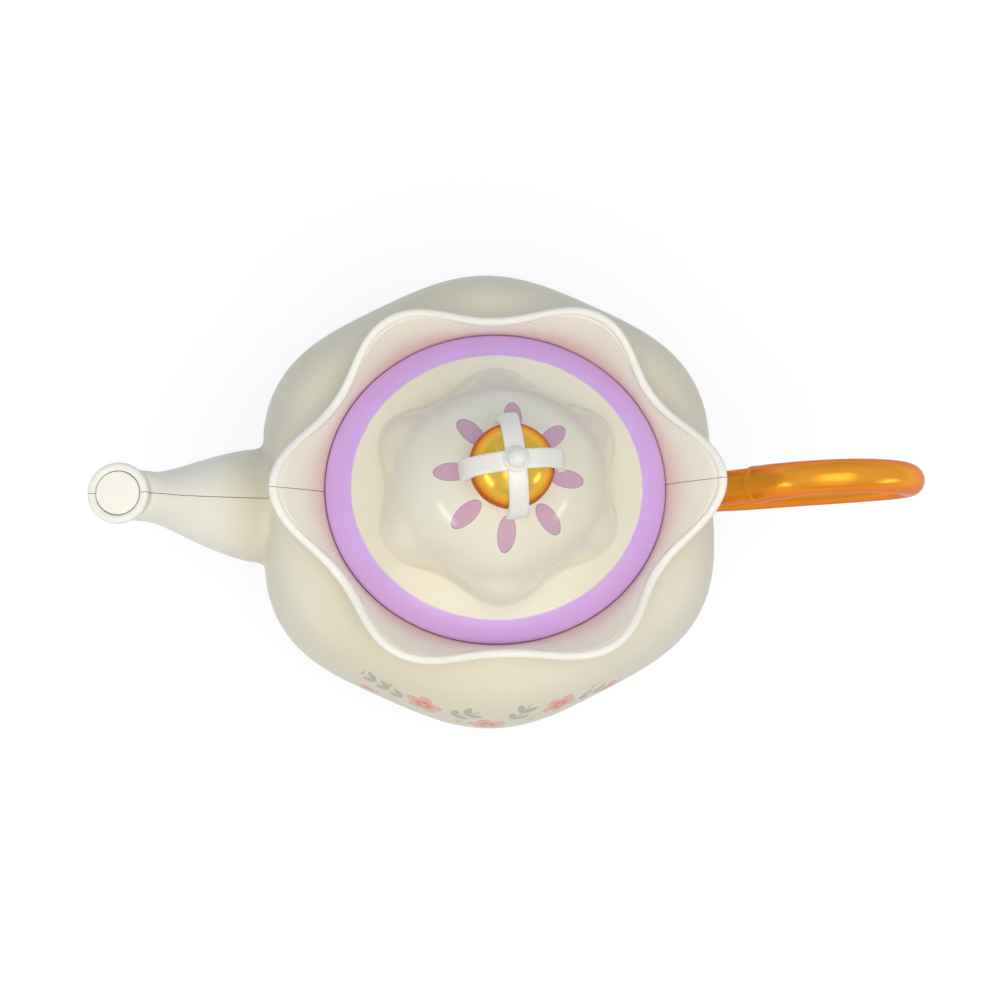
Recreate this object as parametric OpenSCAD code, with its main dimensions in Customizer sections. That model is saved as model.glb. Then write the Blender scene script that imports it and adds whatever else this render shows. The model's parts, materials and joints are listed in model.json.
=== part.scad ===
// Toy teapot: two moulded half shells with a wavy collar and a hollow spout, a looped handle held in
// sockets between them, a lift-off lobed lid with a strapped ball finial, and a sound module in the base.
// Millimetres. Z is up and the foot stands on Z = 0. The handle is towards +X, the spout towards -X
// and the printed front towards -Y. The pot's plan is an oval: every radius is measured along X.

/* [Pot] */
// mean radius of the belly at its widest
belly_r = 67.3; // [65.5:0.1:69.5]
// height of the widest line of the belly
belly_z = 47; // [45:0.5:50]
// depth of the six lobes as a share of the belly radius
lobe_depth = 0.028; // [0.02:0.002:0.036]
// how far the belly's plan leans from an oval to a rounded oblong, as a share of its radius
plan_square = 0.0175; // [0.01:0.0005:0.022]
// width of the neck, the lid and the foot across Y as a share of their width along X
plan_ratio = 0.91; // [0.9:0.005:0.93]
// the same share for the belly at its widest
belly_ratio = 0.96; // [0.94:0.005:0.97]
// height of the shoulder where the neck starts
neck_z = 85; // [83:0.5:88]
// wall thickness of the moulded shells
wall = 2.2; // [1.8:0.1:2.6]
// roundness of the upper belly, 2 is an ellipse
upper_round = 2.6; // [2.2:0.1:3]
// roundness of the lower belly, 2 is an ellipse
lower_round = 2; // [1.8:0.1:2.4]

/* [Collar] */
// radius of the four tips beside the front and the back
rim_tip_r = 56.3; // [55:0.1:58]
// extra reach of the tips above the spout and the handle
end_tip_reach = 3.6; // [2:0.2:5]
// radius of the dips between the tips
rim_dip_r = 49.8; // [49.5:0.1:51]
// rise of the tips above the neck
rim_tip_rise = 17; // [14:0.5:20]
// rise of the dips above the neck
rim_dip_rise = 9.4; // [8:0.2:11]
// width of the rounded bead on the rim
bead_w = 2.2; // [1.8:0.1:2.4]

/* [Foot] */
// width of the foot ring
foot_w = 3.4; // [3:0.1:5]
// height of the foot ring
foot_h = 4; // [4:0.1:5]
// distance from the corners of the battery bay to the edge of the base plate
plate_margin = 6.8; // [6.4:0.1:7.2]
// thickness of the base plate
plate_t = 2.4; // [2.2:0.1:2.4]

/* [Lid] */
// radius of the lid's rim
lid_r = 45.5; // [44.8:0.1:46]
// gap between the lid's rim and the collar
lid_gap = 0.6; // [0.4:0.1:0.8]
// inner radius of the painted band
band_in_r = 38.8; // [38:0.1:40]
// mean radius of the dome where it leaves the band
dome_r = 32.6; // [31:0.2:33.6]
// height of the dome above its base
dome_h = 31.2; // [28:0.2:34]
// fullness of the dome, 2 is a parabola
dome_power = 2.4; // [2:0.1:3]
// depth of the dome's six lobes at its base
dome_lobe = 2.9; // [2:0.1:3.2]
// wall thickness of the lid
lid_wall = 2.4; // [2.2:0.1:2.6]

/* [Finial] */
// radius of the ball
ball_r = 10.4; // [9.8:0.1:11]
// radius over the straps of the crown
crown_r = 12.9; // [12.6:0.1:13.4]
// width of a strap
strap_w = 5.2; // [4.4:0.1:6]
// radius of the knob on top
knob_r = 2.4; // [2:0.1:2.8]
// turn of the crown about the lid's axis
crown_turn = 5; // [0:1:15]

/* [Spout] */
// reach of the lip past the side of the pot
spout_reach = 35; // [33.5:0.5:36.5]
// rise of the lip over the widest line of the belly
spout_rise = 48.8; // [47:0.2:50]
// half width of the root
spout_root_w = 17.2; // [16:0.2:18]
// radius of the rounded lip
lip_r = 8; // [7.9:0.1:8.6]
// radius of the plug in the mouth
plug_r = 5.5; // [5.2:0.1:5.6]

/* [Handle] */
// radius of the grip
grip_r = 4.5; // [4.3:0.05:4.8]
// radius of the lower return
return_r = 4.3; // [4:0.1:4.4]
// reach of the loop past the side of the pot
loop_reach = 50.6; // [48:0.2:53]
// rise of the grip's middle over the neck
loop_rise = 14.8; // [13:0.2:16]

/* [Sound module] */
// length of a battery
cell_len = 44.5; // [43.5:0.5:44.5]
// radius of a battery
cell_r = 5.25; // [5:0.05:5.25]
// radius of the speaker
speaker_r = 18; // [16:0.5:18]
// travel of the power slider
slider_travel = 4; // [3:0.5:4]
// tilt of the tilt switch
tilt_angle = 20; // [15:1:25]

/* [Hidden] */
$fn = 64;

// clearances shared by mating pieces
fit_gap = 0.15;
screw_gap = 0.05;
hole_gap = 0.3;
seat_gap = 0.1;
// how far joined parts of one solid sink into each other, and how far cuts run past a face
sink = 0.3;
cut = 1;
far = 400;

// steps of the lofted surfaces
half_steps = 36;
low_rows = 7;
up_rows = 7;
collar_rows = 4;
core_steps = 36;
lid_steps = 48;
dome_rows = 8;
tube_steps = 16;
spout_steps = 24;

// derived sizes of the neck, the seat and the foot
seat_r = lid_r + lid_gap;
neck_r = seat_r + wall;
neck_h = 2.6;
collar_z = neck_z + neck_h;
ledge_t = 2.2;
ledge_drop = 0.6;
ledge_w = 3.2;
ledge_z = neck_z - ledge_drop;
ledge_hole_r = lid_r - ledge_w;
plate_low = 0;
plate_top = plate_low + plate_t;
bay_wall = 1.6;
contact_room = 4.15;
bay_x = cell_len / 2 + contact_room + bay_wall;
bay_spare_y = 2.5;
bay_y = 2 * cell_r + bay_spare_y;
plate_r = norm([bay_x, bay_y / plan_ratio]) + plate_margin;
plate_gap = 0.4;
plate_hole_r = plate_r + plate_gap;
foot_r = plate_hole_r + foot_w;
flange_w = 2.8;
flange_t = 2.4;
flange_hole_r = plate_r - flange_w;

// derived sizes of the bowl under the lid
bowl_wall = 1.6;
bowl_flange_t = 1.6;
bowl_gap = 1;
bowl_top_r = plan_ratio * ledge_hole_r - bowl_gap;
bowl_taper = 6.5;
bowl_drop = 5;
bowl_low_r = bowl_top_r - bowl_taper;
bowl_floor_z = belly_z - bowl_drop;
bowl_turn = 6;
skirt_depth = 6.4;
skirt_gap = 0.4;

// a point of the oval plan: turn about the axis, radius along X, height
function at(turn, radius, height, ratio = plan_ratio) =
    [radius * cos(turn), ratio * radius * sin(turn), height];
function lobes(turn) = cos(6 * (turn - 30));
function belly_swell(turn) = belly_r * (lobe_depth * lobes(turn) - plan_square * cos(4 * turn));
function tips(turn) = (1 + cos(6 * turn)) / 2;
function mix(low, high, share) = low + (high - low) * share;

// one row of the belly: share 0 is the inner face of the wall, 1 the outer face; level runs -1 (foot)
// to 0 (widest line) to 1 (neck)
function belly_point(turn, level, share) =
    let (angle = 90 * abs(level),
         power = 2 / (level < 0 ? lower_round : upper_round),
         out = pow(cos(angle), power),
         along = pow(sin(angle), power),
         widest = belly_r - wall * (1 - share),
         end_r = level < 0 ? mix(plate_hole_r, foot_r, share) : mix(seat_r, neck_r, share),
         end_z = level < 0 ? mix(foot_h + wall, foot_h, share) : mix(neck_z - wall, neck_z, share),
         radius = mix(end_r, widest, out) + belly_swell(turn) * out)
    at(turn, radius, mix(belly_z, end_z, along), mix(plan_ratio, belly_ratio, out));
side_x = belly_r + belly_swell(0);
back_y = belly_ratio * (belly_r + belly_swell(90));

function rim_r(turn) = mix(rim_dip_r, rim_tip_r, pow(tips(turn), 1.15)) + end_tip_reach * pow(cos(turn), 12);
function rim_z(turn) = neck_z + mix(rim_dip_rise, rim_tip_rise, tips(turn));

// one row of the flared collar, share as above; rise runs 0 (neck) to 1 (under the bead)
function collar_point(turn, rise, share) =
    let (low_r = mix(seat_r, neck_r, share),
         high_r = rim_r(turn) - bead_w * (1 - share))
    at(turn, mix(low_r, high_r, pow(rise, 1.15)), mix(collar_z, rim_z(turn) - bead_w / 2, rise));

function bead_point(turn, share) = at(turn, rim_r(turn) - bead_w * (share == 1 ? 0.3 : 0.7), rim_z(turn));

// all points of one face of the wall at one turn, from the floor to the bead
function wall_column(turn, share) = concat(
    [at(turn, share == 1 ? foot_r : plate_hole_r, 0)],
    [for (i = [0 : low_rows]) belly_point(turn, i / low_rows - 1, share)],
    [for (i = [1 : up_rows]) belly_point(turn, i / up_rows, share)],
    [for (i = [0 : collar_rows]) collar_point(turn, i / collar_rows, share)],
    [bead_point(turn, share)]);

function reversed(list) = [for (i = [len(list) - 1 : -1 : 0]) list[i]];

// two triangles for the patch a-b-c-d that is seen counter-clockwise from outside
function patch(a, b, c, d) = [[a, d, c], [a, c, b]];

// half of the moulded wall, for Y above 0
module wall_half() {
    rows = 2 * len(wall_column(0, 1));
    half = rows / 2;
    points = [for (j = [0 : half_steps]) let (turn = 180 * j / half_steps)
              each concat(wall_column(turn, 1), reversed(wall_column(turn, 0)))];
    sides = [for (j = [0 : half_steps - 1], i = [0 : rows - 1])
             let (next = (i + 1) % rows, here = j * rows, beside = (j + 1) * rows)
             each patch(here + i, beside + i, beside + next, here + next)];
    last = half_steps * rows;
    ends = [for (i = [0 : half - 2]) let (inner = rows - 1 - i)
            each concat(patch(inner, i, i + 1, inner - 1),
                        patch(last + i, last + inner, last + inner - 1, last + i + 1))];
    polyhedron(points, concat(sides, ends), convexity = 10);
}

// closed rings stacked into a solid, with a centre point in each end face
module ring_loft(rings) {
    steps = len(rings[0]);
    count = len(rings);
    middle = function (ring) [for (k = [0 : 2]) let (values = [for (p = ring) p[k]])
                              (min(values) + max(values)) / 2];
    points = concat([for (ring = rings) each ring], [middle(rings[0]), middle(rings[count - 1])]);
    sides = [for (i = [0 : count - 2], j = [0 : steps - 1]) let (next = (j + 1) % steps)
             each patch(i * steps + j, i * steps + next, (i + 1) * steps + next, (i + 1) * steps + j)];
    low_end = [for (j = [0 : steps - 1]) [count * steps, j, (j + 1) % steps]];
    high_end = [for (j = [0 : steps - 1])
                [count * steps + 1, (count - 1) * steps + (j + 1) % steps, (count - 1) * steps + j]];
    polyhedron(points, concat(sides, low_end, high_end), convexity = 10);
}

// closed rings joined into a ring-shaped solid, the last ring to the first
module hollow_loft(rings) {
    steps = len(rings[0]);
    count = len(rings);
    points = [for (ring = rings) each ring];
    sides = [for (i = [0 : count - 1], j = [0 : steps - 1])
             let (next = (j + 1) % steps, here = i * steps, above = ((i + 1) % count) * steps)
             each patch(here + j, here + next, above + next, above + j)];
    polyhedron(points, sides, convexity = 10);
}

// the space inside the outer part of the wall, which trims what is moulded on to the wall
module wall_core() {
    ring_loft([for (level = [-1 : 0.25 : 1])
               [for (j = [0 : core_steps - 1]) belly_point(360 * (j + 0.5) / core_steps, level, 0.65)]]);
}

module back_space() {
    translate([-far / 2, 0, -cut]) cube([far, far / 2, far]);
}

// flat oval plate, and half of an oval ring for Y above 0, between two heights
module oval_plate(radius, low, high) {
    translate([0, 0, low]) linear_extrude(high - low)
        polygon([for (j = [0 : 71]) let (p = at(5 * j, radius, 0)) [p[0], p[1]]]);
}

module half_oval_ring(outer_r, inner_r, low, high) {
    outline = [for (j = [0 : 36]) let (p = at(5 * j, outer_r, 0)) [p[0], p[1]]];
    inside = [for (j = [36 : -1 : 0]) let (p = at(5 * j, inner_r, 0)) [p[0], p[1]]];
    translate([0, 0, low]) linear_extrude(high - low) polygon(concat(outline, inside));
}

// cylinder between two points of the X-Z plane
module rod(from, to, radius) {
    run = to - from;
    translate([from[0], 0, from[1]]) rotate([0, 90 - atan2(run[1], run[0]), 0])
        cylinder(h = norm(run), r = radius);
}

// cylinder along Y
module y_rod(x, z, from_y, to_y, radius) {
    translate([x, to_y, z]) rotate([90, 0, 0]) cylinder(h = to_y - from_y, r = radius);
}

// pan-head screw that points down from its seat at Z = 0
module screw(shank_r, shank_len, head_r, head_h) {
    translate([0, 0, -shank_len]) cylinder(h = shank_len, r = shank_r);
    difference() {
        rotate_extrude() polygon([[0, 0], [head_r, 0], [head_r, head_h * 0.4], [head_r * 0.7, head_h],
                                  [0, head_h]]);
        for (turn = [0, 90]) rotate(turn) translate([-head_r * 0.6, -head_r * 0.12, head_h * 0.45])
            cube([head_r * 1.2, head_r * 0.24, head_h]);
    }
}

// Spout: stations of distance out from the pot's side as a share of the reach, height over the widest line
// as a share of the rise, slope, and half width and half depth as shares of the root's half width
spout_path = [
    [-0.477, -0.123, 30, 1, 1.07], [-0.192, 0.041, 34, 0.965, 1.035],
    [0.056, 0.205, 40, 0.942, 1], [0.261, 0.348, 44, 0.82, 0.88],
    [0.452, 0.484, 46, 0.657, 0.715], [0.618, 0.611, 49, 0.5, 0.555],
    [0.755, 0.732, 54, 0.4, 0.45], [0.86, 0.836, 62, 0.39, 0.42],
    [0.937, 0.914, 72, 0.39, 0.4]];
lip_slope = 84;
lip_x = -side_x - spout_reach;
lip_z = belly_z + spout_rise;
mouth_depth = 2.6;
mouth_step = 0.95;
plug_low = 0.4;
plug_flange = 0.9;
lip_edge = 0.8;

function spout_ring(x, z, slope, half_w, half_d) =
    [for (j = [0 : spout_steps - 1]) let (turn = 360 * (j + 0.5) / spout_steps)
     [x + half_d * cos(turn) * sin(slope), half_w * sin(turn), z + half_d * cos(turn) * cos(slope)]];
function spout_station(s, inset) =
    spout_ring(-side_x - s[0] * spout_reach, belly_z + s[1] * spout_rise, s[2], s[3] * spout_root_w - inset,
               s[4] * spout_root_w - inset);
function lip_ring(below, radius) =
    spout_ring(lip_x + below * cos(lip_slope), lip_z - below * sin(lip_slope), lip_slope, radius, radius);

module spout_solid() {
    ring_loft(concat([for (s = spout_path) spout_station(s, 0)],
                     [lip_ring(4 * lip_edge, lip_r - lip_edge), lip_ring(2.6 * lip_edge, lip_r),
                      lip_ring(1.1 * lip_edge, lip_r), lip_ring(0, lip_r - lip_edge)]));
}

module spout_bore() {
    ring_loft(concat([for (s = spout_path) spout_station(s, wall)],
                     [lip_ring(mouth_depth - sink, plug_r - sink)]));
}

// a disc round the spout's mouth axis, between two depths below the lip
module mouth_disc(from, to, radius) {
    translate([lip_x, 0, lip_z]) rotate([0, lip_slope - 90, 0]) translate([0, 0, -to])
        cylinder(h = to - from, r = radius);
}

module mouth_cavity() {
    mouth_disc(-cut, mouth_depth, plug_r + fit_gap);
    mouth_disc(mouth_step, mouth_depth, plug_r + plug_flange + fit_gap);
}

// Handle: stations of distance along X, height and radius. Those of the loop are shares of its reach past
// the pot's side and of its rise over the neck, and their radius lies between the return's and the grip's,
// apart from the first, which are thicker by extra.
root_r = 4.8;
root_run = 14;
upper_in = 6.7;
upper_drop = 17;
upper_slope = 45;
lower_in = 5;
lower_drop = 34.8;
lower_slope = 14;
lower_run = 17;
knuckle_at = 19.8;
knuckle_w = 2.4;
knuckle_edge = 0.8;
knuckle_rise = 0.4;
upper_step = [side_x - upper_in, neck_z - upper_drop];
upper_way = [cos(upper_slope), sin(upper_slope)];
lower_step = [side_x - lower_in, neck_z - lower_drop];
lower_way = [cos(lower_slope), sin(lower_slope)];
tenon_len = 5;
ring_w = 2.2;
ring_rise = 1.2;
socket_wall = 1.8;
upper_tenon_r = 4.4;
lower_tenon_r = 3.4;
end_x = side_x + loop_reach;
function loop_station(out, rise, share, extra = 0) =
    [side_x + out * loop_reach, neck_z + rise * loop_rise, mix(return_r, grip_r, share) + extra];
handle_path = [
    concat(upper_step, root_r),
    concat(upper_step + root_run / 2 * upper_way, root_r),
    concat(upper_step + (knuckle_at - knuckle_edge) * upper_way, root_r),
    concat(upper_step + knuckle_at * upper_way, root_r + knuckle_rise),
    concat(upper_step + (knuckle_at + knuckle_w) * upper_way, root_r + knuckle_rise),
    loop_station(0.232, 0.243, 1, 0.5), loop_station(0.341, 0.703, 1, 0.15), loop_station(0.509, 0.98, 1),
    loop_station(0.667, 0.959, 1), loop_station(0.831, 0.703, 1), loop_station(0.954, 0.27, 0.8),
    loop_station(1, -0.23, 0.5), loop_station(0.916, -0.682, 0.2), loop_station(0.697, -1.176, 0),
    loop_station(0.46, -1.608, 0),
    concat(lower_step + lower_run * lower_way, return_r),
    concat(lower_step, return_r)];
handle_splits = 2;

// smooth run through the stations: the way between stations i and i + 1
function spline(list, i, share) =
    let (last = len(list) - 1,
         a = list[max(i - 1, 0)], b = list[i], c = list[i + 1], d = list[min(i + 2, last)],
         u = share * share, v = u * share)
    ((2 * b) + (c - a) * share + (2 * a - 5 * b + 4 * c - d) * u + (3 * b - a - 3 * c + d) * v) / 2;
function handle_stations() = concat(
    [for (i = [0 : len(handle_path) - 2], k = [0 : handle_splits - 1])
     spline(handle_path, i, k / handle_splits)],
    [handle_path[len(handle_path) - 1]]);
function handle_ring(list, i) =
    let (last = len(list) - 1, s = list[i], ahead = list[min(i + 1, last)], behind = list[max(i - 1, 0)],
         slope = atan2(ahead[1] - behind[1], ahead[0] - behind[0]))
    [for (j = [0 : tube_steps - 1]) let (turn = 360 * (j + 0.5) / tube_steps)
     [s[0] + s[2] * cos(turn) * sin(slope), s[2] * sin(turn), s[1] - s[2] * cos(turn) * cos(slope)]];

// the two tenons of the handle, grown by a gap for the sockets
module tenons(gap) {
    rod(upper_step - (tenon_len + gap) * upper_way, upper_step + upper_way, upper_tenon_r + gap);
    rod(upper_step - (tenon_len + gap) * upper_way, upper_step - (tenon_len - ring_w - gap) * upper_way,
        upper_tenon_r + ring_rise + gap);
    rod(lower_step - (tenon_len + gap) * lower_way, lower_step + lower_way, lower_tenon_r + gap);
    rod(lower_step - (tenon_len + gap) * lower_way, lower_step - (tenon_len - ring_w - gap) * lower_way,
        lower_tenon_r + ring_rise + gap);
}

module handle_cavity() {
    tenons(fit_gap);
    rod(upper_step - fit_gap * upper_way, upper_step + root_run * upper_way, root_r + fit_gap);
    rod(lower_step - fit_gap * lower_way, lower_step + root_run * lower_way, return_r + fit_gap);
}

module handle_sockets() {
    rod(upper_step - (tenon_len + socket_wall) * upper_way, upper_step + root_run * upper_way,
        upper_tenon_r + ring_rise + socket_wall);
    rod(lower_step - (tenon_len + socket_wall) * lower_way, lower_step + root_run * lower_way,
        lower_tenon_r + ring_rise + socket_wall);
}

// screws that join the half shells: the low ones stand in from the pot's side, the high ones beside the bowl
boss_r = 5.2;
low_screw_in = 18.2;
low_screw_drop = 23;
high_screw_rise = 11;
low_screw = [side_x - low_screw_in, belly_z - low_screw_drop];
high_screw = [bowl_top_r + bowl_gap + boss_r, belly_z + high_screw_rise];
shell_screw_at = [for (side = [1, -1], s = [low_screw, high_screw]) [side * s[0], s[1]]];
screw_seat_y = 8;
shell_screw_r = 1.3;
shell_screw_len = 20;
shell_head_r = 3.2;
shell_head_h = 2;

// screws that hold the base plate
base_screw_inset = 2.6;
base_screw_at = [for (turn = [45, 135, 225, 315]) at(turn, plate_r - base_screw_inset, 0)];
base_boss_r = 3.2;
base_boss_h = 11.6;
base_boss_top = plate_top + base_boss_h;
base_screw_r = 1.2;
base_screw_len = 9;
base_head_r = 2.4;
base_head_h = 1.2;

module shell_bosses() {
    for (p = shell_screw_at) y_rod(p[0], p[1], 0, far / 3, boss_r);
}

module base_bosses() {
    for (p = base_screw_at) if (p[1] > 0) translate([p[0], p[1], plate_top])
        cylinder(h = base_boss_top - plate_top, r = base_boss_r);
}

module base_pilots() {
    for (p = base_screw_at) if (p[1] > 0) translate([p[0], p[1], plate_top - cut])
        cylinder(h = base_screw_len + cut, r = base_screw_r + screw_gap);
}

// speaker place on the back lobe
speaker_rise = 3;
speaker_in = 10.5;
speaker_rim = 2.6;
speaker_lip = 1.6;
speaker_z = belly_z + speaker_rise;
speaker_y = back_y - speaker_in;
speaker_flange_t = 1.5;
speaker_screw_turns = [30, 150, 270];
speaker_screw_out = 2.2;
speaker_screw_ring = speaker_r + speaker_screw_out;
speaker_screw_r = 1;
speaker_screw_len = 5;
speaker_head_r = 2.9;
speaker_head_h = 1.4;
speaker_boss_r = 2.8;
grille_hole_r = 1.1;
grille_pitch = 5.4;

function speaker_screw_place(turn) =
    [speaker_screw_ring * cos(turn), speaker_z + speaker_screw_ring * sin(turn)];

module speaker_mount() {
    y_rod(0, speaker_z, speaker_y - speaker_flange_t, far / 3, speaker_r + speaker_rim);
    for (turn = speaker_screw_turns) let (p = speaker_screw_place(turn))
        y_rod(p[0], p[1], speaker_y - speaker_flange_t, far / 3, speaker_boss_r);
}

module speaker_room() {
    y_rod(0, speaker_z, 0, speaker_y, speaker_r + hole_gap);
}

module grille_holes() {
    y_rod(0, speaker_z, speaker_y - cut, far / 2, grille_hole_r);
    for (ring = [1, 2], k = [0 : 6 * ring - 1]) let (turn = 60 * k / ring + 30)
        y_rod(ring * grille_pitch * cos(turn), speaker_z + ring * grille_pitch * sin(turn), speaker_y - cut,
              far / 2, grille_hole_r);
}

// half of the wall with its half of the spout, open from the pot to the spout's mouth
module spouted_wall() {
    difference() {
        union() {
            wall_half();
            difference() {
                intersection() {
                    spout_solid();
                    back_space();
                }
                wall_core();
            }
        }
        spout_bore();
    }
}

// what both half shells share, drawn for Y above 0
module half_shell(with_speaker) {
    difference() {
        union() {
            spouted_wall();
            half_oval_ring(seat_r + wall / 2, ledge_hole_r, ledge_z - ledge_t, ledge_z);
            half_oval_ring(plate_hole_r + 1, flange_hole_r, plate_top, plate_top + flange_t);
            base_bosses();
            intersection() {
                wall_core();
                union() {
                    difference() {
                        union() {
                            shell_bosses();
                            intersection() {
                                handle_sockets();
                                back_space();
                            }
                        }
                        bowl_room();
                    }
                    if (with_speaker) difference() {
                        speaker_mount();
                        y_rod(0, speaker_z, 0, far / 2, speaker_r - speaker_lip);
                    }
                }
            }
        }
        mouth_cavity();
        handle_cavity();
        base_pilots();
    }
}

module front_shell() {
    color("#e2dbc4") mirror([0, 1, 0]) difference() {
        half_shell(false);
        for (p = shell_screw_at)
            y_rod(p[0], p[1], -cut, shell_screw_len - screw_seat_y + 1, shell_screw_r + screw_gap);
    }
}

module back_shell() {
    color("#e2dbc4") difference() {
        half_shell(true);
        for (p = shell_screw_at) {
            y_rod(p[0], p[1], -cut, screw_seat_y + cut, shell_screw_r + hole_gap);
            y_rod(p[0], p[1], screw_seat_y, far / 2, shell_head_r + hole_gap);
        }
        speaker_room();
        for (turn = speaker_screw_turns) let (p = speaker_screw_place(turn))
            y_rod(p[0], p[1], speaker_y - speaker_flange_t - cut, speaker_y - speaker_flange_t
                  + speaker_screw_len + hole_gap, speaker_screw_r + screw_gap);
        grille_holes();
    }
}

// Bowl under the lid, hung in the ledge of the neck; its top is upright where the lid's skirt goes in
module inner_bowl() {
    color("#ece4d2") {
        difference() {
            oval_plate(seat_r - skirt_gap, ledge_z, ledge_z + bowl_flange_t);
            translate([0, 0, ledge_z - cut])
                cylinder(h = bowl_flange_t + 2 * cut, r = bowl_top_r - bowl_wall);
        }
        rotate_extrude() polygon([
            [0, bowl_floor_z], [bowl_low_r - bowl_turn, bowl_floor_z],
            [bowl_low_r - bowl_turn * 0.27, bowl_floor_z + bowl_turn * 0.33],
            [bowl_low_r, bowl_floor_z + bowl_turn], [bowl_top_r, ledge_z - skirt_depth],
            [bowl_top_r, ledge_z + bowl_flange_t / 2], [bowl_top_r - bowl_wall, ledge_z + bowl_flange_t / 2],
            [bowl_top_r - bowl_wall, ledge_z - skirt_depth],
            [bowl_low_r - bowl_wall, bowl_floor_z + bowl_turn],
            [bowl_low_r - bowl_wall - bowl_turn * 0.2, bowl_floor_z + bowl_turn * 0.53],
            [bowl_low_r - bowl_turn, bowl_floor_z + bowl_wall], [0, bowl_floor_z + bowl_wall]]);
    }
}

// the bowl's room, which what is moulded on to the wall stays out of
module bowl_room() {
    translate([0, 0, bowl_floor_z - bowl_gap])
        cylinder(h = ledge_z - bowl_floor_z + bowl_gap, r = bowl_top_r + bowl_gap);
}

module spout_plug() {
    color("#fffbec") {
        mouth_disc(plug_low, mouth_depth - fit_gap, plug_r);
        mouth_disc(mouth_step + fit_gap, mouth_depth - fit_gap, plug_r + plug_flange);
    }
}

module handle() {
    stations = handle_stations();
    color("#e0861f") {
        ring_loft([for (i = [0 : len(stations) - 1]) handle_ring(stations, i)]);
        tenons(0);
    }
}

// Base plate with the battery bay, the board's posts and the slot of the power slider
door_lap = 1;
end_lap = 3;
side_lap = 1.8;
tab_out = 5.6;
door_x = bay_x + door_lap;
door_y = bay_y + door_lap;
door_t = 1.1;
door_gap = 0.3;
cell_pad = 2.1;
cell_z = plate_low + cell_pad + hole_gap + cell_r;
bay_top = cell_z + cell_r + hole_gap;
opening_x = bay_x - end_lap;
opening_y = bay_y - side_lap;
tab_y = bay_y + tab_out;
tab_r = 3.6;
post_r = 2.6;
board_z = 18.4;
board_t = 1.6;
board_y = 23;
post_gap = 0.5;
post_edge = [8, 3.5];
post_x = base_screw_at[0][0] - base_boss_r - post_r - post_gap;
board_x = post_x + post_edge[0];
post_at = [for (x = [-1, 1], y = [-1, 1]) [x * post_x, y * (board_y - post_edge[1])]];
board_screw_len = 8;
board_screw_r = 1;
slider_y = -22;
slider_x = 4;
slider_w = 3;
slider_in = 0.5;
slider_low = plate_low + slider_in;
tongue_x = 14;
tongue_w = 6;
tongue_len = 1.8;
tongue_t = 0.8;
tab_t = 2;
door_screw_len = 7;
grip_count = 4;
grip_len = 16;
grip_w = 1;
grip_depth = 0.4;

module door_outline(gap) {
    translate([-door_x - gap, -door_y - gap]) square([2 * (door_x + gap), 2 * (door_y + gap)]);
}

module tab_outline(gap) {
    translate([-tab_r - gap, door_y - tab_r]) square([2 * (tab_r + gap), tab_y - door_y + tab_r]);
    translate([0, tab_y]) circle(r = tab_r + gap);
}

// room for the slider's stem and its travel, between two heights
module slider_slot(low, high) {
    translate([-(slider_x + slider_travel) / 2 - hole_gap, slider_y - slider_w / 2 - hole_gap, low])
        cube([slider_x + slider_travel + 2 * hole_gap, slider_w + 2 * hole_gap, high - low]);
}

module base_plate() {
    color("#e4ddc8") difference() {
        union() {
            oval_plate(plate_r, plate_low, plate_top);
            translate([-bay_x, -bay_y, plate_top - cut])
                cube([2 * bay_x, 2 * bay_y, bay_top + bay_wall - plate_top + cut]);
            translate([0, tab_y, plate_top - sink]) cylinder(h = door_screw_len + 1, r = tab_r - 0.6);
            for (p = post_at) translate([p[0], p[1], plate_top - cut])
                cylinder(h = board_z - plate_top + cut, r = post_r);
        }
        translate([-bay_x + bay_wall, -bay_y + bay_wall, plate_top - sink])
            cube([2 * (bay_x - bay_wall), 2 * (bay_y - bay_wall), bay_top - plate_top + sink]);
        translate([-opening_x, -opening_y, plate_low - cut])
            cube([2 * opening_x, 2 * opening_y, plate_t + cut]);
        translate([0, 0, plate_low - cut]) linear_extrude(door_t + cut) door_outline(door_gap);
        translate([0, 0, plate_low - cut]) linear_extrude(tab_t + cut) tab_outline(door_gap);
        for (x = [-tongue_x, tongue_x])
            translate([x - tongue_w / 2 - door_gap, -opening_y - tongue_len - door_gap, plate_low + door_t])
                cube([tongue_w + 2 * door_gap, tongue_len + 2 * door_gap, tongue_t + 0.2]);
        translate([0, tab_y, plate_low]) cylinder(h = door_screw_len + 2, r = base_screw_r + screw_gap);
        for (p = base_screw_at) translate([p[0], p[1], plate_low - cut]) {
            cylinder(h = plate_t + 2 * cut, r = base_screw_r + hole_gap);
            cylinder(h = base_head_h + cut, r = base_head_r + hole_gap);
        }
        for (p = post_at) translate([p[0], p[1], board_z + board_t - board_screw_len - cut])
            cylinder(h = board_screw_len + cut, r = board_screw_r + screw_gap);
        slider_slot(plate_low - cut, plate_top + cut);
    }
}

module battery_door() {
    color("#e4ddc8") difference() {
        union() {
            translate([0, 0, plate_low]) linear_extrude(door_t) door_outline(0);
            translate([0, 0, plate_low]) linear_extrude(tab_t) tab_outline(0);
            translate([-opening_x + door_gap, -opening_y + door_gap, plate_low])
                cube([2 * (opening_x - door_gap), 2 * (opening_y - door_gap), cell_pad]);
            for (x = [-tongue_x, tongue_x])
                translate([x - tongue_w / 2, -opening_y - tongue_len, plate_low + door_t])
                    cube([tongue_w, tongue_len + 1, tongue_t]);
        }
        translate([0, tab_y, plate_low - cut]) {
            cylinder(h = tab_t + 2 * cut, r = base_screw_r + hole_gap);
            cylinder(h = base_head_h + cut, r = base_head_r + hole_gap);
        }
        for (k = [1 : grip_count]) translate([-grip_len / 2, door_y - 2 * grip_w * k, plate_low - cut])
            cube([grip_len, grip_w, cut + grip_depth]);
    }
}

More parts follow.
